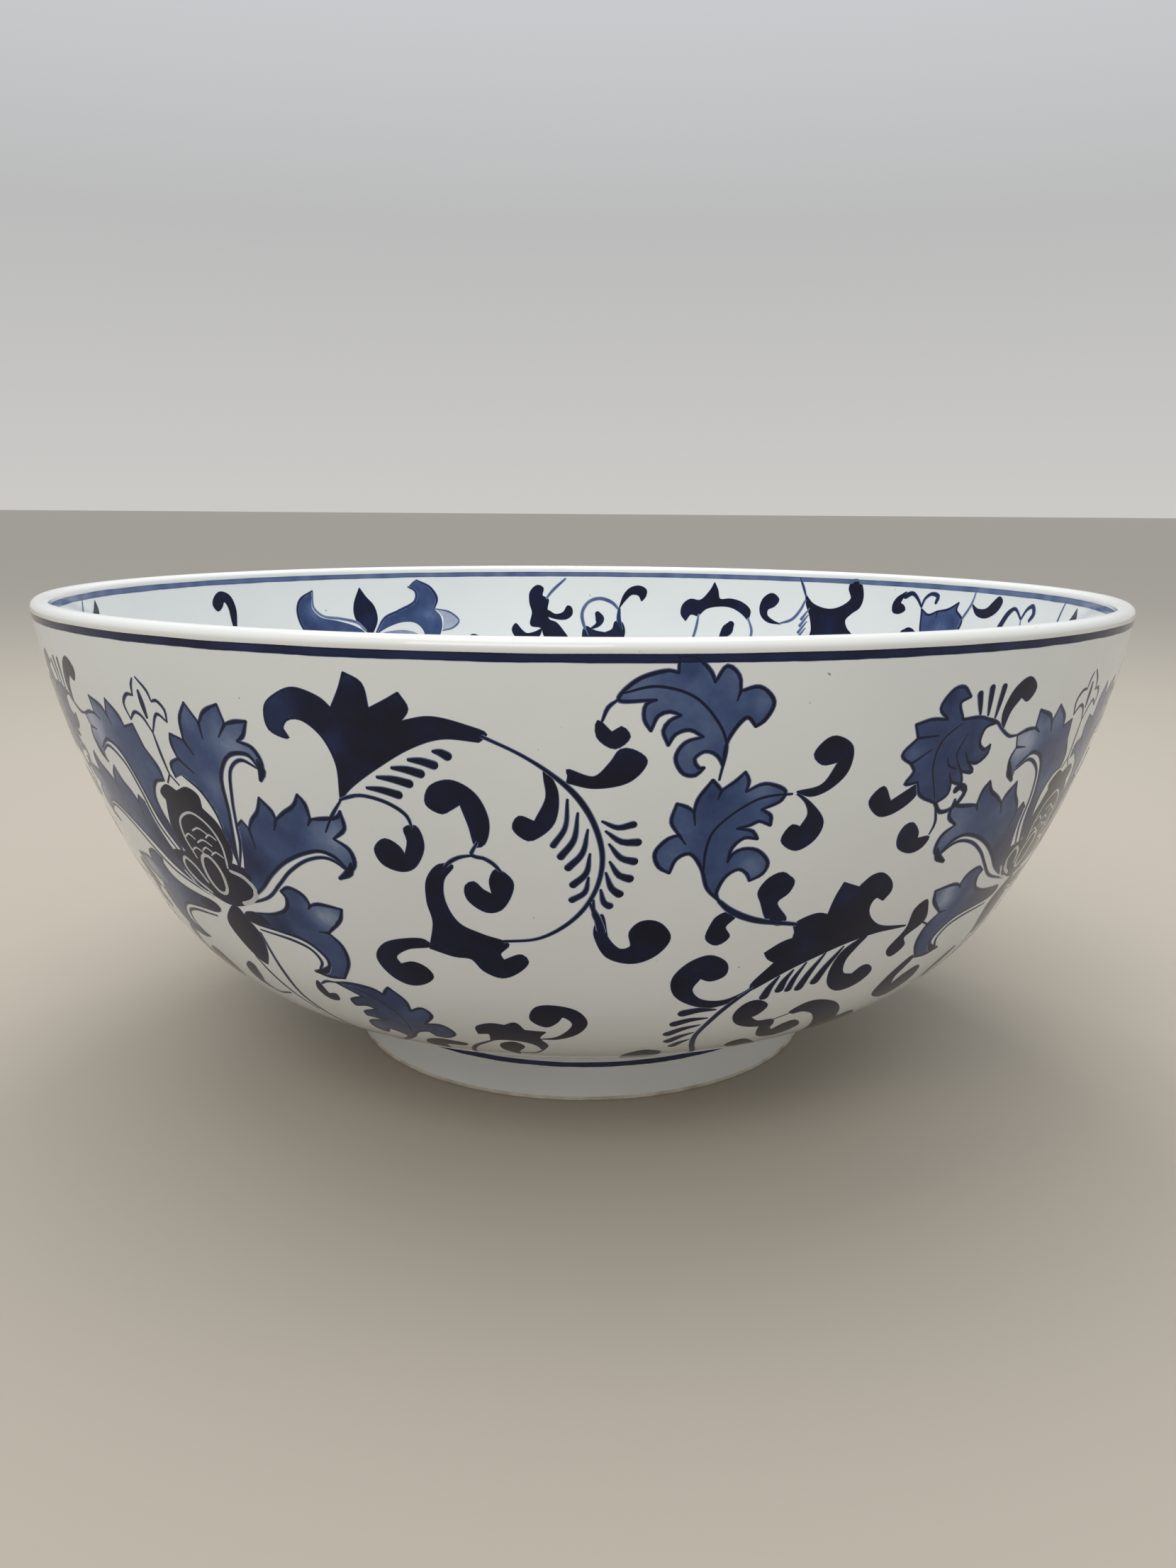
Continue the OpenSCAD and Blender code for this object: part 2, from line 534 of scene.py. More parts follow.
class Paint:
    """Thin cobalt films on one face of the bowl, gathered into one piece."""

    def __init__(self, face, turn=0.0, flip=False, waver=0.0):
        self.face, self.turn, self.flip, self.waver = face, turn, flip, waver
        self.mirrored = flip != (face.facing < 0)
        self.verts, self.normals, self.ink, self.faces, self.mats = [], [], [], [], []

    def add(self, a, s, lift, ink):
        """One vertex, moved a little by the painter's unsteady hand."""
        seed = self.turn * HAND_REPEAT
        drift = noise.noise_vector(Vector((a * HAND_TURN + seed, s * HAND_DOWN, seed)))
        a += drift.x * self.waver / self.face.degree(s)
        s += drift.y * self.waver
        point, normal = self.face.point((180 - a if self.flip else a) + self.turn, s, lift)
        self.verts.append(point)
        self.normals.append(normal if lift > 0 else -normal)
        self.ink.append(ink)
        return len(self.verts) - 1

    def close(self, corners, mat):
        self.faces.append(corners[::-1] if self.mirrored else corners)
        self.mats.append(mat)

    def film(self, rows, inks, lift, mat):
        """A closed film from rows of (degrees, down) points. Its edges lie on the glaze."""
        top, under = [], []
        clear = self.face.clear
        for r, row in enumerate(rows):
            rims = [r in (0, len(rows) - 1) or c in (0, len(row) - 1) for c in range(len(row))]
            heights = [clear if rim else clear + lift for rim in rims]
            ids = [self.add(*p, height, k) for p, height, k in zip(row, heights, inks)]
            below = [v if rim else self.add(*p, -SINK, k) for v, p, rim, k in zip(ids, row, rims, inks)]
            top.append(ids)
            under.append(below)
        for r in range(len(rows) - 1):
            for c in range(len(inks) - 1):
                corners = [(r, c), (r, c + 1), (r + 1, c + 1), (r + 1, c)]
                self.close(tuple(top[i][j] for i, j in corners), mat)
                if any(top[i][j] != under[i][j] for i, j in corners):
                    self.close(tuple(under[i][j] for i, j in reversed(corners)), mat)

    def stroke(self, points, ink=0.95, lift=STROKE_LIFT, mat=INK_SLOT, edges=SOFT_EDGES):
        """One pull of the brush through (degrees, down, width) points, with round ends."""
        mean = sum(p[1] for p in points) / len(points)
        path = curve_through(points, self.face.degree(mean), STROKE_STEP)
        inner = max(2, math.ceil(max(p[2] for p in path) / ACROSS_STEP) + 1)
        ends = [(math.sin(math.radians(t)), math.cos(math.radians(t))) for t in CAP_TURNS]
        rows = []
        for k, (a, s, w) in enumerate(path):
            before, after = path[max(k - 1, 0)], path[min(k + 1, len(path) - 1)]
            degree = self.face.degree(s)
            along = Vector(((after[0] - before[0]) * degree, after[1] - before[1])).normalized()
            half = max(THINNEST, w / 2)
            caps = [(0.0, 1.0)]
            if k == 0:
                caps = [(-f, c) for f, c in ends[::-1]] + caps
            if k == len(path) - 1:
                caps = caps + ends
            for forward, shrink in caps:
                core = half * shrink
                soft = min(SOFT, 0.5 * half) * shrink
                across = [-(core - soft) + 2 * (core - soft) * j / (inner - 1) for j in range(inner)]
                offsets = [-(core + soft), *across, core + soft]
                x, y = along.x * forward * half, along.y * forward * half
                rows.append([(a + (x - along.y * o) / degree, s + y + along.x * o) for o in offsets])
        self.film(rows, [edges[0]] + [ink] * inner + [edges[1]], lift, mat)

    def line(
        self, points, width=LINE, ink=0.93, closed=False, taper=0.6, lift=STROKE_LIFT, mat=INK_SLOT,
        edges=SOFT_EDGES,
    ):
        """A drawn line, round between tips. A vein runs in from each notch, a point of four numbers."""
        for notch in points:
            if len(notch) == 4:
                a, s, vein_a, vein_s = notch
                vein = [(a, s, width), (vein_a, vein_s, width / 2)]
                self.stroke(vein, ink, lift, mat, (max(edges), max(edges)))
        runs, loop = runs_of(points, closed)
        for run in runs:
            if loop:
                run = run + run[:2]
            last = len(run) - 1
            widths = [width * (taper if k in (0, last) and not loop else 1.0) for k in range(last + 1)]
            self.stroke([(a, s, w) for (a, s), w in zip(run, widths)], ink, lift, mat, edges)

    def patch(self, points, ink, pale=(), lift=WASH_LIFT):
        """A filled shape, whose ink changes round each (degrees, down, reach, ink) spot of pale."""
        degree = self.face.degree(sum(p[1] for p in points) / len(points))
        runs, loop = runs_of(points, True)
        ring = []
        for run in runs:
            fine = curve_through(run, degree, RING_STEP, loop)
            ring += fine if loop else fine[:-1]
        flat = [(a * degree, s) for a, s in ring]
        low_x, low_y = min(p[0] for p in flat), min(p[1] for p in flat)
        columns = int((max(p[0] for p in flat) - low_x) / GRID) + 1
        rows = int((max(p[1] for p in flat) - low_y) / GRID) + 1
        staggered = [
            (low_x + (k + 0.25 + 0.5 * (j % 2)) * GRID, low_y + (j + 0.5) * GRID)
            for j in range(rows) for k in range(columns)
        ]
        coords = [Vector(p) for p in flat + [p for p in staggered if inside_ring(*p, flat)]]
        verts, _, faces, *_ = delaunay_2d_cdt(coords, [], [list(range(len(flat)))], FILL_INSIDE, SMALL)
        uses = {}
        for f in faces:
            for pair in zip(f, f[1:] + f[:1]):
                uses[frozenset(pair)] = uses.get(frozenset(pair), 0) + 1
        rim = {v for pair, count in uses.items() if count == 1 for v in pair}
        top, under = {}, {}
        for v in sorted({v for f in faces for v in f}):
            a, s = verts[v].x / degree, verts[v].y
            level = ink
            for spot_a, spot_s, reach, spot_ink in pale:
                near = 1 - min(1.0, math.hypot((a - spot_a) * degree, s - spot_s) / reach)
                level += (spot_ink - ink) * smooth_step(near)
            if v in rim:
                top[v] = under[v] = self.add(a, s, self.face.clear, level)
            else:
                top[v] = self.add(a, s, self.face.clear + lift, level)
                under[v] = self.add(a, s, -SINK, level)
        for f in faces:
            self.close(tuple(top[v] for v in reversed(f)), INK_SLOT)
            if not all(v in rim for v in f):
                self.close(tuple(under[v] for v in f), INK_SLOT)

    def shape(self, points, ink, pale=()):
        """A wash with its own drawn outline."""
        self.patch(points, ink, pale)
        self.line(points, closed=True, taper=0.8, edges=edge_inks(points, ink))

    def solid(self, points, ink=0.95, pale=()):
        """A shape filled dark right up to its soft edge."""
        self.patch(points, ink, pale, SOLID_LIFT)
        rim = [p[:3] for p in points]
        self.line(rim, SOLID_RIM, ink, closed=True, taper=1.0, lift=EDGE_LIFT, edges=edge_inks(points, ink))

    def reserve(self, points, width, closed=False):
        """Bare porcelain left as a line through dark paint."""
        self.line(points, width, 0, closed, 0.8, RESERVE_LIFT, RESERVE_SLOT)

    def piece(self, name, material=PATTERN_INK, stands_for=()):
        mesh = bpy.data.meshes.new(name)
        mesh.from_pydata(self.verts, [], self.faces)
        mesh.update()
        mesh.shade_smooth()
        mesh.attributes.new("ink", "FLOAT", "POINT").data.foreach_set("value", self.ink)
        add_piece(name, mesh, material, stands_for)
        if any(self.mats):
            mesh.materials.append(RESERVE)
            mesh.polygons.foreach_set("material_index", self.mats)
        mesh.normals_split_custom_set_from_vertices(self.normals)


OVAL_POINTS = 10


def oval(a, s, half_wide, half_tall):
    turns = [2 * math.pi * k / OVAL_POINTS for k in range(OVAL_POINTS)]
    return [(a + half_wide * math.cos(t), s + half_tall * math.sin(t)) for t in turns]


def mirrored(points, axis, stretch):
    """Points reflected about a line down the bowl, with the ends of their veins."""
    out = []
    for p in points:
        q = list(p)
        for k in (0, 2) if len(p) == 4 else (0,):
            q[k] = axis - (q[k] - axis) * stretch
        out.append(tuple(q))
    return out


# ---------------------------------------------------------------- the pattern on the outside
# Places are degrees to the right of the front and millimetres down from the lip.

FLOWER_AXIS = -37.3
LEFT_STRETCH = 1.1
PETAL_LINE = 1.15


def comb(p, strokes, bow_a, bow_s):
    """Strokes from a thin start to a full round end, bowed by so many degrees and millimetres."""
    for a1, s1, a2, s2, width in strokes:
        waist = blend((a1, s1), (a2, s2), 0.55)
        p.stroke([(a1, s1, 0.6), (waist[0] + bow_a, waist[1] + bow_s, width * 0.75), (a2, s2, width)])


def petal(p, edge, fold, under_fold, close, ink, pale):
    """A toothed petal whose rolled edge stays white between two lines."""
    outline = edge + fold + close
    p.patch(outline, ink, pale)
    for drawn in (edge, fold):
        p.line(drawn, PETAL_LINE, edges=edge_inks(outline, ink))
    p.line(under_fold)


def upper_left_petal(p):
    edge = [
        (-50.9, 28, TIP), (-49.5, 27), (-48.3, 27, -47.4, 28.5), (-48.4, 21.5, TIP), (-46.2, 24),
        (-45.6, 26, -45.2, 29), (-44.9, 21, TIP), (-43.2, 25.5), (-42.8, 28.5, TIP), (-41.2, 27, TIP),
        (-40.5, 34, TIP), (-39.3, 40), (-39.1, 44, TIP), (-40.5, 45), (-41.6, 50), (-41.7, 55), (-40.8, 64),
    ]
    fold = [
        (-41, 70), (-42.7, 60), (-43.6, 48), (-45, 38.5), (-46.3, 35.5), (-47.5, 35), (-49.3, 38.5, TIP),
    ]
    under_fold = [(-41.6, 71.5), (-43.5, 61), (-44.1, 50), (-45.2, 41.5), (-47.6, 37), (-49.3, 39.5)]
    curl = [(-49.3, 43, TIP), (-50.5, 39), (-50.8, 35), (-50.4, 32, -49, 32.5)]
    tones = [(-49.5, 31, 15, 0.22), (-45, 26, 9, 0.4), (-41.5, 62, 14, 0.75)]
    petal(p, edge, fold, under_fold, curl, 0.57, tones)
    p.line(curl + [(-50.9, 28)])
    p.stroke([(-50.6, 37, 1.2), (-50.2, 40, 2.4), (-49.3, 43, 1)])


def upper_right_petal(p):
    edge = [
        (-37.1, 42), (-37.2, 38), (-35.9, 35.5, -34.3, 39.5), (-36.2, 31), (-36, 28, TIP),
        (-34.4, 29.5, -33.6, 33.5), (-34.1, 23), (-33.1, 18, TIP), (-31.9, 23.5, -31.9, 28), (-31, 20),
        (-29.4, 17.5, TIP), (-29, 23, -30, 27), (-28, 22), (-26.7, 21.5, TIP), (-27.4, 26),
        (-28.1, 27.5, TIP), (-26.7, 29), (-26.1, 33.5), (-26.7, 38.5, TIP),
    ]
    fold = [
        (-26.5, 35, TIP), (-27.2, 31.5), (-28.2, 31), (-29.6, 32.5), (-31, 39), (-31.4, 50), (-32, 59),
        (-32.8, 69),
    ]
    under_fold = [
        (-26.6, 35), (-28.2, 33), (-29.6, 36), (-30.5, 45.5), (-31, 54.5), (-31.4, 61), (-32.7, 69.5),
    ]
    inner = [(-33, 60.5), (-33.1, 52), (-34.2, 45), (-36, 41)]
    tones = [(-28.5, 30, 13, 0.36), (-33, 23, 6, 0.48), (-31.8, 42, 8, 0.42), (-32.5, 62, 14, 0.76)]
    petal(p, edge, fold, under_fold, inner, 0.56, tones)
    p.line(inner)
    p.stroke([(-26.5, 32.5, 1), (-26.3, 35.5, 2.6), (-26.7, 38.5, 1)])


MIDDLE_EDGE = [
    (-30.9, 54.5), (-30.2, 52.5, TIP), (-29.6, 55, -29.6, 61.5), (-29, 52), (-28, 48.5), (-27.4, 44, TIP),
    (-26.4, 48), (-26.2, 50.5, -26.7, 54), (-25.2, 48), (-23.9, 45), (-23.3, 41.5, TIP), (-22.8, 44),
    (-22.6, 49, -23, 51), (-21.6, 48.5), (-20, 47.5), (-19.6, 45.5, TIP), (-19.6, 51), (-20.8, 54.5, TIP),
    (-19.6, 57.5), (-19.5, 62.5), (-21.3, 67.5, TIP),
]
MIDDLE_FOLD = [
    (-20.3, 64, TIP), (-21.2, 60.5), (-22.4, 59), (-24.2, 60.5), (-26.6, 64.5), (-28.8, 70), (-30.8, 76),
    (-33, 80.5), (-34.8, 83, TIP),
]
MIDDLE_UNDER = [
    (-20.4, 64.5), (-21.2, 62), (-22.2, 61), (-24, 62.5), (-26.4, 67.5), (-28.4, 73.5), (-30.4, 79),
    (-34.8, 84.5),
]
MIDDLE_BACK = [(-32.4, 71), (-31.2, 60.5)]
LOWER_EDGE = [
    (-33.4, 87), (-30.6, 85.5), (-28.8, 82.5), (-28.2, 78), (-28.6, 76, TIP), (-27.4, 74), (-26, 76),
    (-25.6, 79.5, -26, 81), (-24.6, 78.5), (-22.1, 79, TIP), (-22.7, 83.5), (-24.6, 89.5, -25.7, 89.5),
    (-23.6, 94), (-23.6, 100.5), (-25.1, 108.5, TIP), (-27.2, 109), (-28.8, 108, TIP),
]
LOWER_FOLD = [(-27, 107), (-26.2, 101.5), (-27, 97), (-28.4, 94), (-31, 92.5), (-34, 92, TIP)]
LOWER_UNDER = [(-28, 106.5), (-27.2, 102.5), (-27.8, 98), (-29.6, 95.5), (-34, 94)]


def side_petals(p, flip):
    """The middle and lower petals on one side of the flower. The left ones are the right ones mirrored."""
    def turned(points):
        return mirrored(points, FLOWER_AXIS, LEFT_STRETCH) if flip else points

    tip, root, lobe, heel = turned([(-20.6, 55), (-31, 68), (-24.2, 83), (-31, 89)])
    middle = [turned(points) for points in (MIDDLE_EDGE, MIDDLE_FOLD, MIDDLE_UNDER, MIDDLE_BACK)]
    lower = [turned(points) for points in (LOWER_EDGE, LOWER_FOLD, LOWER_UNDER, [])]
    petal(p, *middle, 0.59, [(*tip, 13, 0.34), (*root, 16, 0.78)])
    petal(p, *lower, 0.60, [(*lobe, 11, 0.24), (*heel, 9, 0.78)])
    p.solid(turned(oval(-33.6, 89.5, 1.8, 2.6)))
    for claw in ([(-19.8, 62), (-20.2, 65), (-21.3, 67.5)], [(-26.4, 104), (-27.3, 106.6), (-28.8, 108)]):
        start, middle, end = turned(claw)
        p.stroke([(*start, 1), (*middle, 2.4), (*end, 1)])


def flower_heart(p):
    """The finial and its stem, the seed pod and the cup under it."""
    p.line([
        (-39.2, 13), (-39.6, 15), (-39.8, 18, TIP), (-40.7, 18), (-41.6, 21), (-41.2, 25.5, TIP),
        (-40.2, 23), (-39.3, 24), (-38.4, 28.5),
    ], 0.9)
    p.line([
        (-38.7, 12.5), (-37.6, 16), (-37.3, 19, TIP), (-36.6, 18.5), (-35.8, 21), (-35.9, 24.5, TIP),
        (-37, 22.5), (-38.4, 28.5),
    ], 0.9)
    p.stroke([(-38.8, 16.5, 1), (-38.7, 20, 2), (-38.6, 24, 1)])
    p.line([(-38.4, 28), (-38.2, 35), (-37.9, 41.5, TIP), (-38.6, 44.5)])
    p.line([(-37.9, 41.5), (-37, 44.5)])
    p.solid([
        (-39, 45.5), (-40.4, 49), (-39.9, 51, TIP), (-40.9, 60), (-41, 65), (-39, 74), (-37.4, 76),
        (-35.6, 74), (-33.1, 65), (-33.5, 55.5), (-34.9, 51, TIP), (-34.8, 47), (-36, 45), (-37.7, 47, TIP),
    ])
    p.reserve([
        (-38.9, 70), (-39.4, 63), (-38.9, 57), (-36.7, 53.5), (-34.8, 57), (-34.1, 63), (-34.6, 71),
    ], 0.9)
    scales = [
        (0, 58.5, 1), (-1.9, 61.5, 0.7), (1.3, 60, 0.7), (0, 62.5, 1), (0, 65, 0.7), (-1.6, 66, 0.8),
        (1.2, 66, 0.8),
    ]
    for along, down, half in scales:
        middle = -36.6 + along
        foot = down + 1.4
        p.reserve([(middle - half, foot), (middle, down), (middle + half, foot)], 0.7)
    p.solid([
        (-43.2, 71), (-42.9, 76), (-41, 81), (-36.8, 86), (-32.5, 81), (-31.6, 76), (-31.8, 71), (-34, 69),
        (-39.5, 69),
    ])
    p.reserve(oval(-37.2, 75, 1.3, 7), 1.3, True)
    p.reserve([(-39.2, 83), (-41, 79.5), (-41.9, 75), (-41.2, 71.5), (-40, 73.5), (-39, 79)], 1.2)
    p.reserve([(-39.4, 85), (-41.2, 82.5), (-42.6, 77.5)], 0.9)
    p.reserve([(-34.4, 72), (-32.8, 73.5), (-32, 77.5), (-32.8, 81.5), (-34.6, 84)], 1.6)


def flower(p):
    upper_left_petal(p)
    upper_right_petal(p)
    side_petals(p, False)
    side_petals(p, True)
    flower_heart(p)
    p.solid([
        (-38, 90), (-39.2, 95.5), (-38.4, 104.5), (-37, 110.5), (-36.4, 111, TIP), (-35.1, 105),
        (-34.5, 96.5), (-35.4, 90), (-36.2, 86),
    ])
    p.line([(-37.8, 108.5), (-37, 117), (-36.2, 124), (-34.6, 135)], 1.0)
    p.line([
        (-34.3, 95.5), (-34.3, 113.5), (-34.4, 125.5), (-33.9, 133), (-33, 145), (-32, 165), (-32, 197),
    ], 1.2)
    p.stroke([(-40.3, 115, 3.5), (-41.2, 119, 6), (-41.8, 125, 4), (-40.4, 130, 1.5), (-37, 127, 0.8)])


def calyx(p):
    """The dark three-pronged calyx with its hook, its row of drops and the comma on its stem."""
    p.solid([
        (-22.9, 25), (-24.6, 23), (-24.6, 16.5), (-23.2, 12.5), (-21.8, 11), (-19.6, 13.5),
        (-18.8, 16, TIP), (-17.9, 10.5), (-17.4, 6.5, TIP), (-16.1, 9), (-15.8, 15.5, TIP), (-14.4, 13),
        (-13.4, 11, TIP), (-12.8, 15), (-13.5, 18.5, TIP), (-11.2, 17), (-8.4, 19), (-7, 21),
        (-7.6, 23, TIP), (-10.4, 22.5), (-13, 25.5), (-15.8, 31.5), (-18.4, 38.5), (-19.3, 42, TIP),
        (-19.1, 31), (-20, 23.5), (-21.6, 19.5), (-22.8, 20), (-23.3, 22.5),
    ], 0.96, [(-23.4, 17, 12, 0.76), (-17, 8, 5, 0.8), (-19.5, 26, 7, 0.8), (-13.4, 12, 4, 0.84)])
    drops = [(-11.1, 26, 1.1), (-13.1, 28.5, 2), (-14.5, 31, 2.3), (-15.8, 34, 2.6), (-16.8, 37.5, 2.6)]
    for a, s, long in drops:
        p.stroke([(a, s, 0.8), (a + long / 2, s + 0.3, 1.9), (a + long, s + 1.3, 2.3)])
    p.line([(-19.3, 42), (-20.5, 47.5), (-21.4, 52.5)])
    p.line([(-19.4, 42), (-18.7, 41), (-17.5, 40), (-15.3, 41.5), (-13.8, 45), (-13.5, 49)])
    p.solid([
        (-14.2, 49), (-13.2, 48), (-12.8, 54), (-14, 61.5), (-15.2, 63), (-16.8, 61), (-17.2, 56.5),
        (-16.1, 53), (-15, 55), (-14.6, 58, TIP), (-14.1, 53),
    ])


def leaf_scroll(p):
    """The two commas over the dark leaf that hooks round at the end of the great arc."""
    p.solid([
        (-10, 34), (-8.2, 37.5), (-7.3, 45.5), (-7.8, 52.5), (-8.4, 53.5), (-8.8, 47), (-9.3, 40.5, TIP),
        (-10.2, 42.5), (-10.8, 43.5), (-12, 41), (-11.6, 36),
    ])
    p.line([(-8.3, 52), (-8.9, 56.3), (-8, 57), (-7.2, 58.8), (-6.5, 62)], 1.0)
    p.line([(-8.7, 56.2), (-10, 57.2), (-11, 59.5), (-11.7, 63)], 1.0)
    p.solid([
        (-7, 60.5), (-5.8, 64), (-5.9, 68), (-7, 74), (-8.2, 75), (-9.7, 71), (-9.7, 66.5), (-9, 65),
        (-8.3, 67.5), (-7.5, 69, TIP), (-7.6, 64),
    ])
    p.solid([
        (-11.7, 60), (-13, 65), (-13.4, 73), (-13.2, 80), (-14.1, 90, TIP), (-11.8, 92.5), (-10.2, 93),
        (-9.2, 97.5), (-7.6, 100), (-6.2, 98), (-5, 93), (-5.5, 90.5), (-7.2, 93, TIP), (-7.5, 90.5),
        (-6.6, 86.5), (-8.8, 83.5), (-10.8, 80), (-11.8, 72.5), (-11.6, 65), (-10.6, 60),
    ])
    p.solid([
        (-14.5, 87), (-14, 89), (-16.4, 91), (-17.9, 95), (-17.6, 98, TIP), (-16.2, 96.5), (-15, 98.5),
        (-14.6, 102), (-15.8, 105.5), (-17.4, 106.5), (-19, 103.5), (-19.9, 96.5), (-18.6, 90), (-16, 87),
    ])


def great_arc(p):
    """The long arc from the calyx to the leaf scroll, combed with strokes on both sides."""
    p.stroke([
        (-7.4, 21.5, 0.8), (-4.6, 26, 0.8), (-2.4, 31, 1), (-0.4, 37.5, 1.5), (1, 46, 1.4), (1.7, 56, 1.2),
        (1.3, 65.5, 1.1), (0, 74, 1.1), (-1.8, 80, 1), (-4, 84, 0.9), (-7, 85.5, 0.9),
    ])
    p.stroke([(0.7, 71, 0.7), (1.3, 76, 1.7), (1.7, 81, 2.2)])
    left = [
        (-1.1, 38.5, -2.3, 52.5, 1.7), (-0.3, 42.5, -1.7, 56, 2), (0.5, 47.5, -1.1, 59.5, 2),
        (0.7, 55, -0.7, 65, 2), (0.6, 62.5, -0.8, 70, 1.9),
    ]
    right = [
        (1.6, 45, 4, 46, 1.9), (1.9, 48, 4.4, 51.5, 2.2), (2.2, 52, 4.2, 57.5, 2.2),
        (2.3, 57.5, 3.9, 63, 2.3), (2, 61, 3.1, 68, 2.3), (1.6, 66.5, 2.3, 72, 2.2),
        (1, 70, 1.3, 76.5, 1.6),
    ]
    comb(p, left, 0.45, 0.8)
    comb(p, right, -0.1, 1.4)
    p.solid([
        (-1.1, 30), (0.9, 32), (2.1, 28), (2.8, 24.5), (3.6, 24.5), (4.7, 27.5), (3.6, 33), (1, 35),
        (-1.1, 33.5, TIP), (-1, 31.5),
    ])
    p.solid([
        (-2.8, 30), (-1.9, 36), (-2.2, 45.5), (-3.5, 50), (-4.3, 51), (-5.4, 47.5), (-4.9, 44),
        (-3.7, 45.5, TIP), (-2.7, 38), (-2.8, 32.5),
    ])
    p.solid([
        (1.7, 75), (2.2, 83), (3.5, 88), (4.4, 87), (4.2, 81.5), (5, 78), (6, 77.5), (7, 79), (7.9, 84),
        (6.8, 90.5), (4.8, 93.5), (2.4, 91), (1.3, 84.5), (1.1, 80.5),
    ])


def upper_acanthus(p):
    top = [
        (2.5, 11.5), (3.8, 6.5), (6, 4), (6.7, 4.5, TIP), (6.7, 0.6, TIP), (7.8, 0.6), (9, 4.5),
        (9.3, 7, TIP), (10.1, 3), (11, 5.5), (11.2, 9.5, 11, 12), (12.6, 8.5), (13.8, 12.5), (13.2, 17.5),
        (12.6, 19, TIP), (11.9, 16.5), (10.6, 22.5), (10.4, 29.5, TIP),
    ]
    under = [
        (10.1, 27.5), (9.6, 26), (8.9, 25.5), (8.2, 27.5), (8.6, 30), (9, 30, TIP), (8.4, 32), (7.5, 31.5),
        (6.8, 27), (7.4, 23), (8.7, 21.5, TIP), (7.7, 19.5), (6.7, 20.5), (6.2, 23.5, TIP), (5.8, 19.5),
        (6.2, 17), (7, 15.5, TIP), (6.2, 14.5), (5.4, 15.5), (4.9, 19.5, TIP), (4.4, 16.5), (4.5, 12.5),
        (5.2, 11.5, TIP),
    ]
    p.shape(top + under, 0.51, [(4, 8, 6, 0.38), (13, 13, 5, 0.42), (7.5, 3, 6, 0.7), (9.5, 26, 7, 0.6)])
    p.line([(2.7, 10), (5.2, 8), (7.8, 10.5), (9.6, 17), (10.5, 23.5), (10.3, 33.5)])
    p.line([(2.5, 11.5), (1.8, 13.5), (1.4, 17)])
    p.solid([(1.1, 17), (2.1, 20), (2.8, 18.5), (3.4, 21), (2.4, 24), (1.1, 21)])


def lower_acanthus(p):
    top = [
        (15.8, 37.5), (14, 35), (12.6, 37, TIP), (12.7, 34), (12.3, 31.5, TIP), (11.6, 34),
        (10.6, 36.5, 10.4, 39), (10.2, 35), (9.8, 33.5, TIP), (8.8, 39), (8.6, 42.5, 8.8, 46.5), (8, 41),
        (7.2, 40, TIP), (6.9, 45.5), (7.6, 49.5, 8.2, 52.5), (6.8, 50.5), (5.8, 55), (6.2, 59.5),
        (7.1, 61.5, TIP), (7.6, 57), (8.6, 55.5), (9.7, 60), (10.5, 67), (11.8, 71.5, TIP),
    ]
    right = [
        (11.4, 69), (12, 63), (13, 61), (13.7, 62.5), (14.1, 65, TIP), (15.1, 63), (15.4, 59.5), (14.2, 55),
        (13, 54.5), (12.2, 56), (11.9, 58.5, TIP), (12.1, 54), (13, 51), (14.1, 51.5, TIP), (13.6, 49),
        (12.3, 48, TIP), (13.4, 47), (14, 46), (15, 47.5, TIP), (14.9, 44.5), (14.1, 42.5, TIP), (15.6, 40),
    ]
    p.shape(top + right, 0.56, [(7, 55, 8, 0.44), (14, 60, 6, 0.42), (14, 37, 5, 0.42), (10, 41, 9, 0.66)])
    p.line([(16.4, 38.5), (15, 38.5), (13.6, 39.5), (11.6, 44), (10.3, 49), (9.9, 56), (10, 62)])
    p.solid([
        (19.3, 23), (20.8, 26), (20.8, 33), (19.4, 38), (18, 39.5), (16.8, 38, TIP), (18.8, 36.5),
        (19.9, 30, TIP), (18.5, 30.5), (17.7, 27.5), (18.6, 23.5),
    ])
    p.solid([
        (16.8, 38.5), (18.2, 42), (19.6, 48), (19.2, 53), (17.7, 56), (16.2, 52.5), (16.9, 48),
        (17.6, 49, TIP), (18.1, 45), (17.6, 41),
    ])
    p.line([(11.8, 71.5), (13, 75), (15.4, 79), (19.8, 82.5)], 1.9)
    p.solid([
        (12.8, 75.6), (13.6, 77), (12.8, 80.8), (13.4, 84.6), (12.4, 87.3), (11.3, 84.8), (11.5, 79.8),
        (11.9, 77),
    ])
    p.solid([
        (17, 63.2), (18.3, 66.5), (18.1, 70.3), (17.2, 73.5), (18.6, 80.3), (18.2, 82.1), (16.8, 79.8),
        (15.7, 73), (15.2, 69), (15.9, 64.6),
    ])


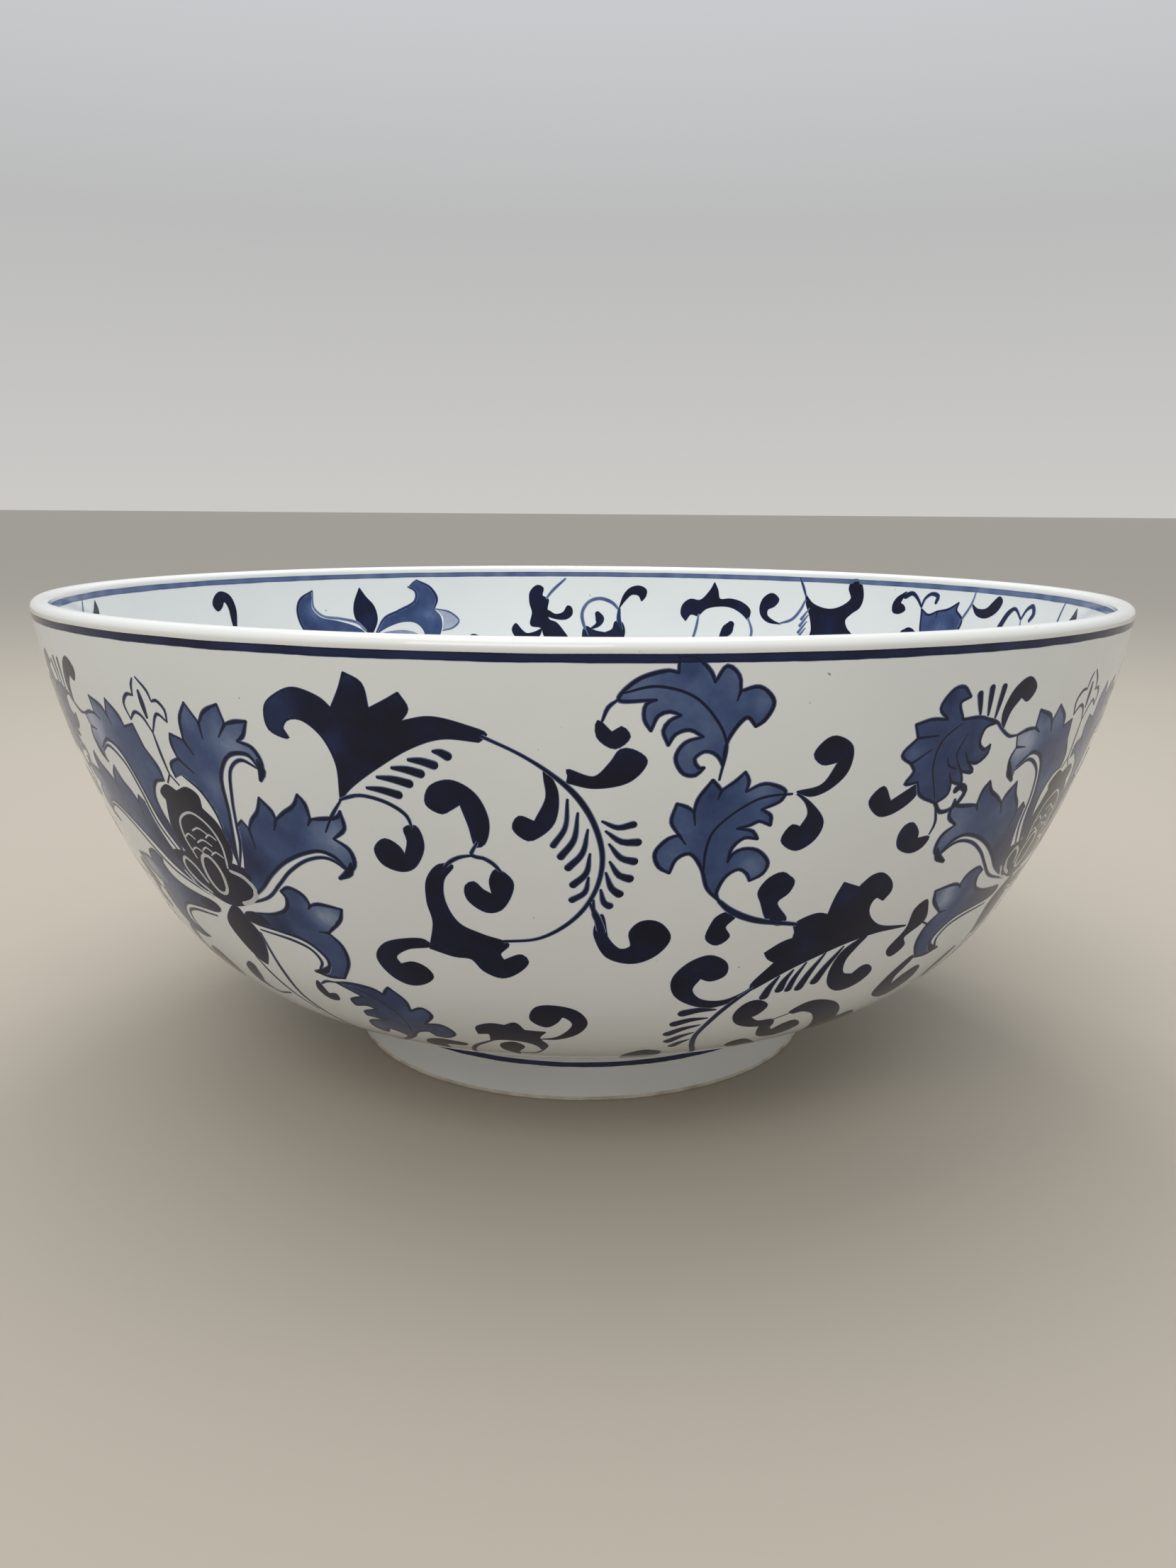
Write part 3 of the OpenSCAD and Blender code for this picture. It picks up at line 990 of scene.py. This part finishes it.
def lotus_leaf(p):
    """The dark lotus leaf with its combed edge, the hook under it and the comma beside it."""
    p.solid([
        (19.7, 82.5), (21, 80), (22, 79.5), (23, 80.5, TIP), (23.2, 74), (23.6, 69, TIP), (25.4, 71.5, TIP),
        (26.4, 68), (27.4, 67.5), (29, 71.5), (29.4, 75), (28.9, 78, TIP), (27.9, 76.5), (27.5, 79),
        (27.9, 83), (29.8, 88), (34, 91, TIP), (30, 91), (26.8, 93), (23.4, 97), (20.6, 101.5),
        (17.3, 108.5, TIP), (17.1, 106), (18.9, 97, TIP), (18, 95), (17.5, 92.5, TIP), (19, 89),
        (20, 88, TIP), (20, 85.5),
    ], 0.97, [(24, 75, 6, 0.86), (28, 72, 5, 0.84), (22, 92, 7, 0.87)])
    fingers = [
        (20, 103.5, 19.2, 112.5, 3), (21.4, 101.5, 20.7, 110, 2.8), (22.6, 99, 21.8, 110.5, 2.2),
        (24.5, 96, 23.1, 110.5, 2.8), (26.5, 94.5, 24.8, 108.5, 3),
    ]
    comb(p, fingers, -0.2, 0)
    p.solid([
        (29, 91.5), (26.8, 96), (26.2, 104), (27, 111.5), (29.2, 116), (31.5, 114), (32.4, 109),
        (31.3, 105.5), (30.5, 105.5), (29.6, 108.5, TIP), (28.2, 107), (27.6, 101), (28.3, 95.5),
    ])
    p.solid([
        (35.3, 82), (36.2, 86), (36.7, 91), (34.8, 96.5), (35.6, 100.5), (34.4, 104), (33.2, 100.5),
        (34.4, 92.5), (34.2, 84.5),
    ])
    p.line([(36.6, 91.5), (38.2, 94)])
    p.solid([
        (12, 91.5), (13.8, 95), (14, 100), (12.7, 102), (11.6, 100.5, TIP), (11, 105.5), (12.2, 110.5),
        (14.6, 112), (16.8, 108.5), (17.6, 105.5, TIP), (16, 112), (13.6, 115), (11, 112), (9.3, 107),
        (8.9, 100.5), (10.2, 94),
    ])


def lower_vine(p):
    """The vine that runs down to the foot, with its combed strokes and the long scroll it meets."""
    p.line([
        (17.3, 108), (15.6, 114), (14.2, 122), (13.3, 132.5), (13.8, 141), (15.3, 153), (16, 170),
        (16, 197),
    ], 1.5)
    combs = [
        (14.2, 116.5, 10.8, 117, 3.4), (13.6, 121, 10.2, 123, 3), (13.1, 125, 9.9, 129.5, 3),
        (12.8, 130, 10.4, 135.5, 3), (12.8, 135.5, 11.3, 140.5, 2.6),
    ]
    comb(p, combs, 0, -0.8)
    p.solid([
        (18.6, 114), (20.2, 117.5), (19.6, 122), (18.9, 123.5, TIP), (20.2, 126.5), (22.2, 127),
        (22.7, 130), (20.5, 130.5), (17.6, 126.5), (16.6, 120.5), (17.4, 115),
    ])
    p.solid([
        (21.4, 130), (22.7, 129.5), (23, 134), (23.7, 136.5, TIP), (24.6, 132.5), (25.8, 131), (27.7, 137),
        (26.7, 142.5), (25, 144), (22.8, 141), (21.5, 134),
    ])
    p.line([(22.5, 127), (24, 125)])
    outer = [
        (24, 124), (25.4, 120), (26.8, 119.5), (29.8, 123), (32, 129), (34.2, 139, TIP), (36.4, 137),
        (38.8, 142), (41, 152), (42, 164, TIP),
    ]
    inner = [
        (38, 164), (35, 158.5), (32, 149.5), (30.3, 138.5), (27.8, 128), (25.8, 125), (24.8, 125.5, TIP),
    ]
    p.solid(outer + inner)
    p.line([(40, 164), (42, 180), (42, 197)], 2)
    p.solid([(20.6, 142), (24, 151), (27, 163.5), (25, 168, TIP), (20.8, 154), (19.2, 147), (19.5, 143.5)])
    p.solid([
        (38.4, 107.5), (36.5, 115), (36.4, 124), (38.6, 129), (41.5, 131), (43.2, 125), (42.6, 117),
        (41.4, 115), (39.6, 118), (38.9, 122.5, TIP), (38.1, 117), (39, 108),
    ])


def combed_leaf(p):
    """The curled leaf on the flower's vine, three drops beside its tip and the commas round it."""
    curl = [
        (29.6, 20.5, TIP), (28.6, 17), (29.6, 12), (30.6, 11.5), (31.6, 14.5, TIP), (30.6, 16),
        (31.3, 21, TIP),
    ]
    edge = [
        (30.8, 46, TIP), (28.6, 42.5), (28, 38.5, TIP), (26.7, 38.5), (27.3, 35), (26.8, 32.5, 28.6, 29),
        (25.7, 29.5), (26.9, 25, 29, 25), (26.4, 21, TIP), (28, 20),
    ]
    lobe = [
        (33.4, 21), (35.6, 23.2, TIP), (34.3, 24.5), (34.1, 29), (35, 31.2), (35.6, 30, TIP), (35.6, 32.5),
        (34.6, 35), (33.3, 34.3, 32.7, 31.5), (34.3, 37.7), (32.8, 37, 32, 34), (33.3, 40.8),
        (31.9, 39.8, 31.4, 37), (32, 43.5),
    ]
    p.shape(curl + lobe + edge, 0.64, [(27, 30, 6, 0.5), (34.5, 31, 4, 0.5), (29.5, 14, 5, 0.78)])
    p.line([(33.4, 21), (35.6, 23), (36.6, 25.5), (38, 28), (39.1, 28)])
    p.line([(31.4, 22), (29.6, 26.5), (29.2, 33.5), (30.6, 45)])
    p.line([(32.3, 25.5), (31.6, 31.5), (32, 34)])
    p.line([(30.6, 32), (31, 34.5), (32, 36)])
    for top, foot in (((32.6, 14), (33.2, 20)), ((33.9, 12.5), (34.2, 20.5)), ((35.4, 12.5), (35.2, 21.5))):
        p.stroke([(*top, 2.1), (*blend(top, foot, 0.5), 1.7), (*foot, 0.8)])
    p.solid([
        (38.6, 10.5), (39.9, 14), (39.1, 17.5), (38.1, 16, TIP), (37.1, 20), (36.7, 26, TIP), (36.1, 20.5),
        (36.9, 13.5),
    ])
    p.solid([
        (24.6, 38.5), (25.5, 42.5), (25.7, 43.5, TIP), (28, 39, TIP), (28.2, 42.5), (26.5, 47), (25, 47.5),
        (23.6, 42.5),
    ])
    p.stroke([
        (30.8, 46, 1.2), (31.8, 49, 1.2), (33.4, 48, 1.4), (34.2, 43.5, 1.8), (33.4, 41.7, 2.2),
        (32.9, 42.6, 2.2),
    ])
    p.line([(30.9, 46.5), (31.7, 52.5), (31.5, 56)], 0.9)
    p.solid([
        (28.9, 51.5), (30, 55), (30.1, 57, TIP), (31.6, 57), (31.2, 60), (30, 61.5), (28.2, 59), (27.8, 55),
        (28.2, 52),
    ])


def small_acanthus(p):
    """The low acanthus on the left, with its hook, and the small dark calyx beside it."""
    top = [
        (-26.7, 111.5, TIP), (-24.8, 110.5), (-22, 111.5), (-21, 113.5, TIP), (-20.6, 111.5),
        (-20, 109.5, TIP), (-18.7, 115), (-18.7, 120.5, TIP), (-17.1, 118), (-16.4, 121.5),
        (-17.9, 128, TIP), (-15.8, 127.5), (-14.8, 133), (-16.2, 137.5), (-17.6, 137.5, TIP), (-18.2, 134),
        (-20, 136), (-21.6, 142.5), (-24, 148.5, TIP),
    ]
    left = [
        (-22.4, 142.5), (-24.2, 137.5), (-25.6, 142.5), (-26.5, 140), (-26, 133.5), (-23.2, 129.5, TIP),
        (-25.6, 129, TIP), (-25.4, 126.5), (-23.3, 123, TIP), (-24.2, 121.5), (-26, 123, TIP), (-26, 120),
        (-24, 116.5, TIP),
    ]
    p.shape(top + left, 0.66, [(-18, 122, 9, 0.5), (-25, 135, 8, 0.55)])
    p.line([
        (-26.7, 111.5), (-23.2, 114.5), (-20.7, 123), (-20.6, 133.5), (-22.2, 144), (-27, 156),
        (-31.5, 164),
    ])
    p.line([(-26.7, 111.5), (-28, 112), (-29, 114)])
    p.solid([
        (-29.4, 113), (-30.2, 118), (-29.5, 122.5), (-28.1, 122), (-27.8, 118.5), (-29, 119.5, TIP),
        (-29.2, 115.5),
    ])
    p.solid([
        (-14.2, 142), (-17.2, 140), (-19.4, 142.5), (-20.5, 149), (-19.4, 154), (-18, 153), (-17.4, 146),
        (-14.8, 144.5),
    ])
    p.solid([
        (-11.7, 131, TIP), (-11.6, 126), (-9.8, 123), (-8.3, 123.5, TIP), (-7.1, 121.5), (-6.3, 126, TIP),
        (-4, 126.5, TIP), (-4.8, 131), (-4, 137.5), (-4.7, 143, TIP), (-5.3, 138), (-6.8, 135),
        (-9.4, 134.5), (-10.6, 136, TIP), (-10.5, 130.5),
    ])
    p.line([(-4.7, 143), (-6, 147.5), (-8, 147.5)], 0.9)
    p.line([(-10.6, 136), (-13, 142.5), (-14.2, 150), (-14.8, 165), (-15, 197)], 1.2)
    p.solid([(-8, 136), (-7, 139.5), (-8, 146), (-8.1, 150.5, TIP), (-9.7, 145), (-9.6, 138.5)])
    p.solid([
        (-3, 111.5), (-0.6, 114), (0.5, 120.5), (-0.5, 127.5), (-2.6, 131.5), (-4.6, 132, TIP), (-2.7, 130),
        (-0.9, 121), (-2, 117), (-2.6, 120), (-3.8, 123), (-5.3, 119), (-4.6, 112.5),
    ])
    p.solid([(8.2, 143.5), (10.2, 146.5), (10.4, 152), (8.8, 160), (6, 160), (5.6, 150), (7, 145)])


OUTSIDE_MOTIFS = [
    flower, calyx, leaf_scroll, great_arc, upper_acanthus, lower_acanthus, lotus_leaf, lower_vine,
    combed_leaf, small_acanthus,
]
OUTSIDE_REPEATS = 4
OUTSIDE_WAVER = 0.5

# ---------------------------------------------------------------- the pattern on the inside
# Places are degrees to the right of the back, seen from the front, and millimetres down from the lip.

PALE_LINE = 0.5


def inner_flower(p):
    """Two tall curled petals with a dark bud between them."""
    p.patch([
        (-44.7, 8, TIP), (-44.7, 11), (-45.2, 16), (-44, 21), (-41, 23.5), (-38, 27), (-36.5, 31),
        (-36.5, 38, TIP), (-42, 36), (-46.5, 31), (-47.6, 24), (-47.8, 17), (-47, 12),
    ], 0.62, [(-45, 18, 7, 0.5)])
    p.line([(-44.7, 8, TIP), (-47, 12), (-47.8, 17), (-47.6, 24), (-46.5, 31)], 1.2, 0.8)
    p.line([
        (-44.7, 8, TIP), (-44.9, 16), (-43.6, 20.5), (-40.5, 22.5), (-37.8, 25), (-36.4, 29),
    ], 1.2, 0.45)
    p.solid([
        (-36.7, 7.5, TIP), (-37.9, 16), (-38, 22), (-37, 28), (-35.5, 31.5, TIP), (-34.3, 24), (-34.6, 17),
        (-35.8, 12),
    ], 0.9)
    p.patch([
        (-27.2, 4), (-28.6, 7.5, TIP), (-27.4, 10), (-27.6, 15), (-30.5, 20), (-33, 23.5), (-35, 32, TIP),
        (-32.4, 28), (-30, 26), (-28, 26.5), (-26.8, 30), (-26.2, 40, TIP), (-24, 33.5), (-23.4, 28),
        (-23.6, 23), (-24.5, 19), (-24, 14), (-25, 8),
    ], 0.60, [(-25, 22, 9, 0.48)])
    p.line([(-27.2, 4), (-25, 8), (-24, 14), (-24.5, 19)], 1.2, 0.8)
    p.line([(-28.6, 7.5, TIP), (-27.4, 10), (-27.6, 15), (-30.5, 20), (-33, 23.5), (-35, 32)], 1.2, 0.7)
    lobe = [(-24.3, 19.5, TIP), (-22, 21.5), (-20.6, 26), (-21.6, 29.5), (-23.4, 31, TIP)]
    p.patch(lobe + [(-23.2, 24)], 0.2)
    p.line(lobe, 0.9, PALE_LINE)
    p.patch([(-34, 32), (-31.5, 30), (-29, 30.5), (-27.5, 33), (-28, 39), (-33, 39)], 0.3)


def inner_stem(p):
    """The dark stem leaf and its two commas."""
    p.solid([
        (-7.5, 7.5), (-8.7, 11), (-8.8, 17), (-8.4, 22), (-8.7, 29), (-7, 30.5), (-6.5, 35),
        (-4.5, 42, TIP), (-2.6, 37), (-3.4, 32), (-4.6, 27.5), (-5.7, 26), (-6, 20), (-5.8, 15), (-6.8, 13),
        (-6.6, 9),
    ])
    p.line([(-3, 4), (-5, 10), (-6.1, 14.5)], 1.4, PALE_LINE)
    p.solid([
        (-6, 23.5), (-4.5, 25.5), (-2.8, 25.5), (-1.9, 23), (-2, 19.5), (-2.6, 18.5), (-3.3, 22),
        (-4.6, 23.2), (-5.8, 21, TIP),
    ])
    p.solid([
        (-11.2, 28), (-11.8, 31), (-11.2, 35), (-9, 37), (-7.4, 35), (-6.9, 31, TIP), (-8.2, 33),
        (-9.5, 33.5), (-10.4, 31),
    ])
    p.solid([(-19.5, 36, TIP), (-18.4, 33.5), (-17, 36), (-17.4, 41, TIP)], 0.8)


def inner_spiral(p):
    """A thin spiral round a dark seed, with a comma above and a pair of leaves below."""
    p.line([
        (0.8, 34), (0, 28), (-0.2, 22), (0.8, 16.5), (2.6, 14.5), (4.6, 16.5), (5.8, 20.5),
    ], 1.6, PALE_LINE)
    p.line([(5.8, 20), (5.8, 26), (6.3, 31)], 2.2, 0.75)
    p.stroke([(1.4, 30.5, 1), (2.4, 28.5, 2.6), (2.7, 25.5, 4.6), (2.3, 22.6, 2.6)])
    p.solid([
        (5.8, 19.5, TIP), (6.6, 12), (7.6, 8.5), (9, 7.5), (10.1, 9.5), (10, 13), (9.4, 15.5, TIP),
        (8.9, 12.5), (7.8, 12), (6.8, 15),
    ])
    p.solid([
        (0.3, 29.5), (2, 32), (3.6, 33, TIP), (4.8, 31), (5.2, 27), (6.2, 27), (6.8, 32), (6.4, 37),
        (4.2, 43, TIP), (1.5, 40), (0, 37), (-0.1, 33),
    ], 0.9)


def inner_calyx(p):
    """A hooked calyx with a comma in the curve of its stems."""
    p.solid([
        (21.2, 5, TIP), (20.6, 9), (19, 14.5), (17.4, 14), (16.2, 17), (16, 22), (16.8, 25.5, TIP),
        (17.6, 22), (18.8, 23, TIP), (20, 19), (22, 17.3), (24.2, 17.6), (26, 20.5), (27.2, 24, TIP),
        (27.4, 19), (26, 15), (24, 13.3), (22.2, 13.5), (21.8, 9),
    ])
    p.line([(18.9, 22), (18.6, 30), (17.8, 40)], 1.3, PALE_LINE)
    p.line([(27.2, 23), (28, 30), (27.6, 38)], 1.3, PALE_LINE)
    p.stroke([(22.9, 38, 1.5), (23.2, 33, 3.6), (23.9, 29.5, 6), (24.4, 26.6, 3.6)])


def inner_fork(p):
    """The tall forked leaf, the comma that hangs from it and its fine combing."""
    p.solid([
        (44, 0.8), (45.2, 0.8), (46.2, 8), (45.9, 14), (44.6, 17.5), (43.7, 21), (44.2, 25), (45.5, 29),
        (46, 36), (43, 45, TIP), (39.2, 40), (38, 34), (38.2, 27), (37.6, 20), (36.8, 14.5), (36.4, 9, TIP),
        (37.8, 13.5), (40.5, 16), (42.6, 14.5), (44.2, 10), (43.6, 5),
    ])
    p.line([(35.2, 0.8), (36, 6), (36.5, 10)], 1.2, 0.7)
    p.solid([
        (30.8, 9.5), (32, 12.5), (31.4, 16), (30.3, 18), (30.3, 21), (31.6, 24), (32.8, 25.3, TIP),
        (30.6, 24.5), (29.4, 21.5), (29, 17), (29.5, 12),
    ])
    p.line([(32.6, 25), (34.6, 22.5), (35.8, 17.5), (36.5, 12)], 1.3, PALE_LINE)
    for k in range(4):
        p.stroke([(37.4 - 0.1 * k, 16 + 3.5 * k, 0.5), (36.2 - 0.1 * k, 22 + 3.5 * k, 1.4)], 0.45)


def inner_curls(p):
    """Two curls over a small leaf, and the comma beyond them."""
    p.solid([
        (53.8, 5), (52.3, 8), (51.7, 11.5), (51.9, 15), (53, 15.5), (54, 13.5), (53.6, 11.5), (53, 10.5),
        (53.3, 8),
    ])
    p.stroke([(53.7, 7, 2.6), (54.9, 5.4, 2), (55.9, 7.5, 1.5), (56.9, 11.5, 1)], 0.88)
    p.stroke([(56.9, 11.5, 1), (57.3, 7.5, 1.3), (58.4, 5, 1.6), (59.6, 6, 2.2), (59.4, 9, 1.6)], 0.8)
    p.solid([(54, 24.5), (55.3, 22), (56.6, 24), (56, 27), (54.4, 27.5)])
    p.solid([
        (-61.2, 6), (-59.6, 8), (-58.9, 14), (-59.3, 22), (-59.8, 27, TIP), (-60, 20), (-60.2, 13),
        (-60.8, 10.5), (-61.4, 13), (-62.3, 14.5), (-63, 11.5), (-62.4, 8),
    ])


def inner_leaf(p):
    """A toothed leaf beside a thin line, a comma that hooks up from it and a second pair of curls."""
    p.shape([
        (57, 12.5, TIP), (58.4, 15), (60, 13, 60, 16), (62, 11.5), (63.8, 8, TIP), (63.6, 11.5), (65, 15.5),
        (64.6, 21), (62, 27), (58, 25),
    ], 0.58, [(61, 22, 8, 0.46)])
    p.line([(66.8, 0.8), (66.3, 8), (64.8, 17), (64, 28)], 1.1, PALE_LINE)
    p.solid([
        (66.4, 8, TIP), (67.7, 10), (69.4, 9.5), (70.6, 6), (71.6, 3.6), (72.4, 5.5), (71.7, 10),
        (69.6, 13.5), (67.6, 12.5),
    ])
    p.stroke([(73, 17, 3), (74.2, 10.5, 2.6), (75.5, 8, 1.4), (77.3, 12, 1)], 0.88)
    p.stroke([(77.3, 12, 1), (78.2, 7.5, 1.4), (79.4, 6, 2), (79.9, 9, 2.4), (79.2, 12, 1.4)], 0.8)
    p.line([(77.3, 12), (77.6, 20), (76.5, 30)], 1.1, PALE_LINE)
    p.line([(87.5, 0.8), (86.5, 8), (86, 16), (86.6, 26)], 1.1, PALE_LINE)
    p.solid([(91, 4, TIP), (91.4, 8), (90.6, 13), (89, 15.5), (88, 12.5), (89.6, 9)])


def inner_vine(p):
    """The thin vine that ties the inside motifs together below the part that the rim hides."""
    p.line([
        (-60, 47), (-51, 52), (-44, 50), (-37, 45.5), (-28, 50), (-18, 47), (-11, 50), (-4.5, 42),
        (4.2, 43), (12, 50), (17.8, 44), (27.6, 40), (34, 50), (42.5, 45), (50, 51), (60, 46), (70, 51),
        (80, 45), (92, 50), (106, 45), (120, 47),
    ], 1.5)
    p.solid([
        (-42, 35, TIP), (-39.5, 34), (-36, 33), (-32.5, 35), (-30, 38, TIP), (-32.5, 43), (-37, 47),
        (-41, 43),
    ])
    for at in (-52, -22, 12, 52, 72, 94, 110):
        p.stroke([(at - 1.8, 49.5, 0.8), (at - 3.2, 46, 2.4), (at - 4, 42, 3.4)])
        p.stroke([(at, 50, 1), (at + 1.4, 54, 2), (at + 3.4, 57.5, 3.6), (at + 5.4, 57, 4.4)])


INSIDE_MOTIFS = [
    inner_vine, inner_flower, inner_stem, inner_spiral, inner_calyx, inner_fork, inner_curls, inner_leaf,
]
INSIDE_REPEATS = 2
INSIDE_WAVER = 0.3


def paint_pattern(face, motifs, repeats, waver, flip=False):
    for k in range(repeats):
        for motif in motifs:
            p = Paint(face, 360 / repeats * k, flip, waver)
            motif(p)
            p.piece(f"{motif.__name__}_{k + 1}")


# ---------------------------------------------------------------- bands

BLEED = 0.18  # how far the brush ran past the CAD band on each side
BAND_SPANS = 720
BAND_SHARES = [0, 0.12, 0.3, 0.5, 0.7, 0.88, 1]
TOP_WAVE, FOOT_WAVE, FOOT_RIPPLE, MOTTLE_WAVE = 9, 14, 60, 25  # noise scales round the bowl
BAND_MOTTLE = 0.10


def band_span(face, node):
    """How far down the face a CAD band starts and ends."""
    _, top, lean = face.place(0)
    return (top - high(node, Z)) / math.cos(lean) - BLEED, (top - low(node, Z)) / math.cos(lean) + BLEED


def paint_band(face, name, node, edge_ink, middle_ink, stagger):
    """A brushed line right round the bowl, darker along its edges where the paint has pooled, and lighter
    along its middle, which is partly a painted highlight.
    """
    p = Paint(face)
    top, foot = band_span(face, node)
    # the lighter middle ink is partly a painted highlight along the band, and the darker edge ink is paint
    # pooled at the edges
    inks = [FRINGE, edge_ink, middle_ink, middle_ink, middle_ink, edge_ink, FRINGE]
    last = len(BAND_SHARES) - 1
    ids, below = [], []
    for k in range(BAND_SPANS):
        turn = 360 * k / BAND_SPANS
        at = Vector((math.cos(math.radians(turn)), math.sin(math.radians(turn)), 0))
        ripple = noise.noise(at * FOOT_WAVE + Vector((5, 0, 0))) + 0.5 * noise.noise(at * FOOT_RIPPLE)
        start = top + noise.noise(at * TOP_WAVE) * stagger
        end = foot + ripple * stagger
        mottle = BAND_MOTTLE * noise.noise(at * MOTTLE_WAVE)
        row, under = [], []
        for c, share in enumerate(BAND_SHARES):
            down = start * (1 - share) + end * share
            rim = c in (0, last)
            v = p.add(turn, down, face.clear if rim else face.clear + BAND_LIFT, inks[c] + mottle)
            row.append(v)
            under.append(v if rim else p.add(turn, down, -SINK, inks[c]))
        ids.append(row)
        below.append(under)
    for k in range(BAND_SPANS):
        n = (k + 1) % BAND_SPANS
        for c in range(last):
            p.close((ids[k][c], ids[k][c + 1], ids[n][c + 1], ids[n][c]), INK_SLOT)
            p.close((below[n][c], below[n][c + 1], below[k][c + 1], below[k][c]), INK_SLOT)
    p.piece(name, BAND_INK, [node])


def foot_place(down):
    """(radius, height, lean) down the outside of the foot from its neck."""
    spread = math.atan2(FOOT_BASE_R - FOOT_NECK_R, FLOOR_LIFT)
    z = FLOOR_LIFT - down * math.cos(spread)
    return (foot_out(z), z, -spread)


FOOT_OUTSIDE = Face(foot_place, 1, CLEAR)


def paint_bands():
    paint_band(OUTSIDE, "painted_rim_band", "outer_rim_band", 0.93, 0.83, 0.16)
    paint_band(INSIDE, "painted_inner_line", "inner_rim_line", 0.52, 0.44, 0.16)
    paint_band(FOOT_OUTSIDE, "painted_foot_line", "foot_line", 0.90, 0.80, 0.12)


# ---------------------------------------------------------------- camera, light and stage
# Places and sizes here are in metres, and lights are in watts.

CAMERA_PLACE = (0, -0.5023, 0.2029)
CAMERA_TURNS = (12.2, 0.25, 0.41)  # down, to the right and rolled, in degrees
CAMERA_LENS = 29.13  # this and the sensor are in millimetres
SENSOR_WIDTH = 36
NEAREST = 0.01

SKY_STOPS = [(0.0, (0.60, 0.59, 0.57)), (0.2, (0.50, 0.50, 0.50)), (0.8, (0.86, 0.93, 1.0))]
FLOOR_HALF = 60.0
FLOOR_COLOUR = (0.42, 0.37, 0.305, 1)
BOWL_MIDDLE = (0, 0, 0.1)
FAR_LIP = (0, 0.2, 0.17)


def make_camera():
    """The photograph's viewpoint: half a metre from the axis and a little over the rim."""
    pitch, yaw, roll = (math.radians(turn) for turn in CAMERA_TURNS)
    forward = Vector((math.sin(yaw) * math.cos(pitch), math.cos(yaw) * math.cos(pitch), -math.sin(pitch)))
    level_right = Vector((math.cos(yaw), -math.sin(yaw), 0))
    level_up = level_right.cross(forward)
    right = level_right * math.cos(roll) + level_up * math.sin(roll)
    up = -level_right * math.sin(roll) + level_up * math.cos(roll)
    axes = Matrix((right, up, -forward)).transposed()
    data = bpy.data.cameras.new("camera")
    data.sensor_width = SENSOR_WIDTH
    data.lens = CAMERA_LENS
    data.clip_start = NEAREST
    camera = add_object("camera", data)
    camera.matrix_world = Matrix.Translation(CAMERA_PLACE) @ axes.to_4x4()
    bpy.context.scene.camera = camera


def make_light(name, place, aim, size, watts, colour=(1, 1, 1)):
    data = bpy.data.lights.new(name, "AREA")
    data.shape = "RECTANGLE"
    data.size, data.size_y = size
    data.energy = watts
    data.color = colour
    light = add_object(name, data)
    light.location = place
    light.rotation_euler = (Vector(aim) - Vector(place)).to_track_quat("-Z", "Y").to_euler()


def make_sky():
    """Soft light that is brightest overhead and falls away towards the horizon."""
    world = bpy.data.worlds.new("soft_room")
    bpy.context.scene.world = world
    world.use_nodes = True
    nodes, links = world.node_tree.nodes, world.node_tree.links
    coord = nodes.new("ShaderNodeTexCoord")
    split = nodes.new("ShaderNodeSeparateXYZ")
    links.new(coord.outputs["Generated"], split.inputs["Vector"])
    links.new(ramp_node(nodes, links, split.outputs["Z"], SKY_STOPS), nodes["Background"].inputs["Color"])
    nodes["Background"].inputs["Strength"].default_value = 1.0


def make_floor():
    mesh = bpy.data.meshes.new("floor")
    corners = [(x * FLOOR_HALF, y * FLOOR_HALF, 0) for x, y in ((-1, -1), (1, -1), (1, 1), (-1, 1))]
    mesh.from_pydata(corners, [], [(0, 1, 2, 3)])
    floor = add_object("floor", mesh)
    mat, _, _, shader = new_material("floor_paper")
    shader.inputs["Base Color"].default_value = FLOOR_COLOUR
    shader.inputs["Roughness"].default_value = 0.8
    mesh.materials.append(mat)


def make_lights():
    make_light("ceiling_light", (-0.1, 0.15, 1.7), BOWL_MIDDLE, (1.5, 1.2), 12, (1, 0.98, 0.95))
    make_light("front_light", (-0.5, -1.7, 1.7), BOWL_MIDDLE, (1.4, 1.0), 13.5, (1, 0.96, 0.90))
    make_light("window_left", (-0.10, 1.05, 1.35), FAR_LIP, (0.30, 0.12), 3)
    make_light("window_right", (0.22, 1.05, 1.35), FAR_LIP, (0.22, 0.12), 2.5)


# ---------------------------------------------------------------- the whole

make_wall()
make_lip()
make_foot()
make_foot_rim()
paint_bands()
paint_pattern(OUTSIDE, OUTSIDE_MOTIFS, OUTSIDE_REPEATS, OUTSIDE_WAVER)
paint_pattern(INSIDE, INSIDE_MOTIFS, INSIDE_REPEATS, INSIDE_WAVER, flip=True)
make_camera()
bpy.context.scene.view_settings.view_transform = "Standard"
make_sky()
make_floor()
make_lights()
